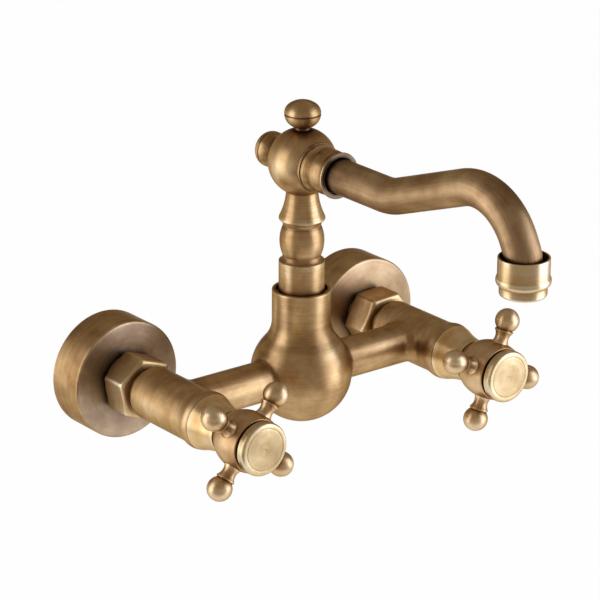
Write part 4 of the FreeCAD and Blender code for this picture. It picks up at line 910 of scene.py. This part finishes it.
def makeCamera():
    s = photoView
    across, up, back = viewAxes()
    data = bpy.data.cameras.new("photoView")
    data.sensor_width = s["sensor"]
    data.lens = s["focalPixels"] * s["sensor"] / s["framePixels"]
    data.clip_start, data.clip_end = s["clip"]
    camera = bpy.data.objects.new("photoView", data)
    place = Vector(s["target"]) + back * s["distance"] + across * s["across"] + up * s["up"]
    turn = Matrix((across, up, back)).transposed() @ Matrix.Rotation(math.radians(s["roll"]), 3, "Z")
    camera.matrix_world = Matrix.Translation(place) @ turn.to_4x4()
    bpy.context.scene.collection.objects.link(camera)
    bpy.context.scene.camera = camera


# A wide sheet of white paper, square to the camera; past its front edge the metal mirrors the darker room
stage = {"below": 0.2, "front": 0.36, "behind": 4.0, "side": 3.0, "paper": "#F4F3F0", "roughness": 0.9,
         "white": "#FFFFFF", "whiteShare": 0.985}  # the rest of it keeps the object's shadow


def makeFloor():
    s = stage
    across, _, back = viewAxes()
    ahead = Vector((back.x, back.y, 0)).normalized()
    middle = Vector((photoView["target"][0], photoView["target"][1], cadBox[0].z - s["below"]))
    corners = [(-s["side"], s["front"]), (s["side"], s["front"]),
               (s["side"], -s["behind"]), (-s["side"], -s["behind"])]
    mesh = bpy.data.meshes.new("floor")
    mesh.from_pydata([middle + across * x + ahead * y for x, y in corners], [], [(0, 1, 2, 3)])
    floor = bpy.data.objects.new("floor", mesh)
    bpy.context.scene.collection.objects.link(floor)
    material, tree, shader = newMaterial("mattWhitePaper", Base_Color=linear(s["paper"]),
                                         Roughness=s["roughness"])
    path = addNode(tree, "ShaderNodeLightPath").outputs
    seen = path["Is Camera Ray"]
    for ray in ("Is Glossy Ray", "Is Transmission Ray"):
        seen = addNode(tree, "ShaderNodeMath", {0: seen, 1: path[ray]}, operation="MAXIMUM").outputs[0]
    glow = addNode(tree, "ShaderNodeEmission", {"Color": linear(s["white"]), "Strength": 1})
    share = addNode(tree, "ShaderNodeMath", {0: seen, 1: s["whiteShare"]}, operation="MULTIPLY")
    mixed = addNode(tree, "ShaderNodeMixShader", {
        "Fac": share.outputs[0], 1: shader.outputs[0], 2: glow.outputs[0]})
    tree.links.new(mixed.outputs[0], tree.nodes["Material Output"].inputs["Surface"])
    mesh.materials.append(material)


# The studio's walls: pale along the floor line, darker towards the ceiling; the camera sees plain white
studio = {"low": -0.2, "high": 0.8,  # how far down and up the tones run, as the height of a direction
          "tones": [(0.0, "#8A7C6A"), (0.2, "#D8D4CE"), (0.34, "#AAA092"), (0.55, "#91877A")]}


def makeWorld():
    s = studio
    world = bpy.data.worlds.new("studio")
    bpy.context.scene.world = world
    world.use_nodes = True
    tree = world.node_tree
    path = addNode(tree, "ShaderNodeLightPath").outputs
    way = addNode(tree, "ShaderNodeTexCoord").outputs["Generated"]
    height = addNode(tree, "ShaderNodeSeparateXYZ", {0: way}).outputs["Z"]
    height = addNode(tree, "ShaderNodeMapRange", {
        "Value": height, "From Min": s["low"], "From Max": s["high"]}).outputs["Result"]
    walls = addNode(tree, "ShaderNodeValToRGB", {"Fac": height}, tones=s["tones"]).outputs["Color"]
    seen = addNode(tree, "ShaderNodeMix", {  # 6 and 7 are its two colours, and 2 comes out
        "Factor": path["Is Camera Ray"], 6: walls, 7: linear(stage["white"])}, data_type="RGBA")
    tree.links.new(seen.outputs[2], tree.nodes["Background"].inputs["Color"])
    tree.nodes["Background"].inputs["Strength"].default_value = 1


lamps = {  # metres across the view, out towards the camera and up from the object
    "leftSoftbox": {"across": -0.7, "out": 0.2, "up": 0.12, "width": 0.5, "height": 0.8,
                    "watts": 2.2, "colour": "#F6F8FF"},
    "rightSoftbox": {"across": 0.65, "out": 0.12, "up": 0.08, "width": 0.5, "height": 0.8,
                     "watts": 3.2, "colour": "#E0EAFF"},
}


def makeLamps():
    across, _, back = viewAxes()
    ahead = Vector((back.x, back.y, 0)).normalized()
    middle = Vector(photoView["target"])
    for name, s in lamps.items():
        data = bpy.data.lights.new(name, "AREA")
        data.shape = "RECTANGLE"
        data.size, data.size_y, data.energy = s["width"], s["height"], s["watts"]
        data.color = linear(s["colour"])[:3]
        lamp = bpy.data.objects.new(name, data)
        place = middle + across * s["across"] + ahead * s["out"] + Vector((0, 0, s["up"]))
        aim = (middle - place).to_track_quat("-Z", "Y")
        lamp.matrix_world = Matrix.Translation(place) @ aim.to_matrix().to_4x4()
        bpy.context.scene.collection.objects.link(lamp)


makeFloor()
makeWorld()
makeLamps()
makeCamera()
bpy.context.scene.view_settings.view_transform = "Standard"
print("stage, light and camera made")
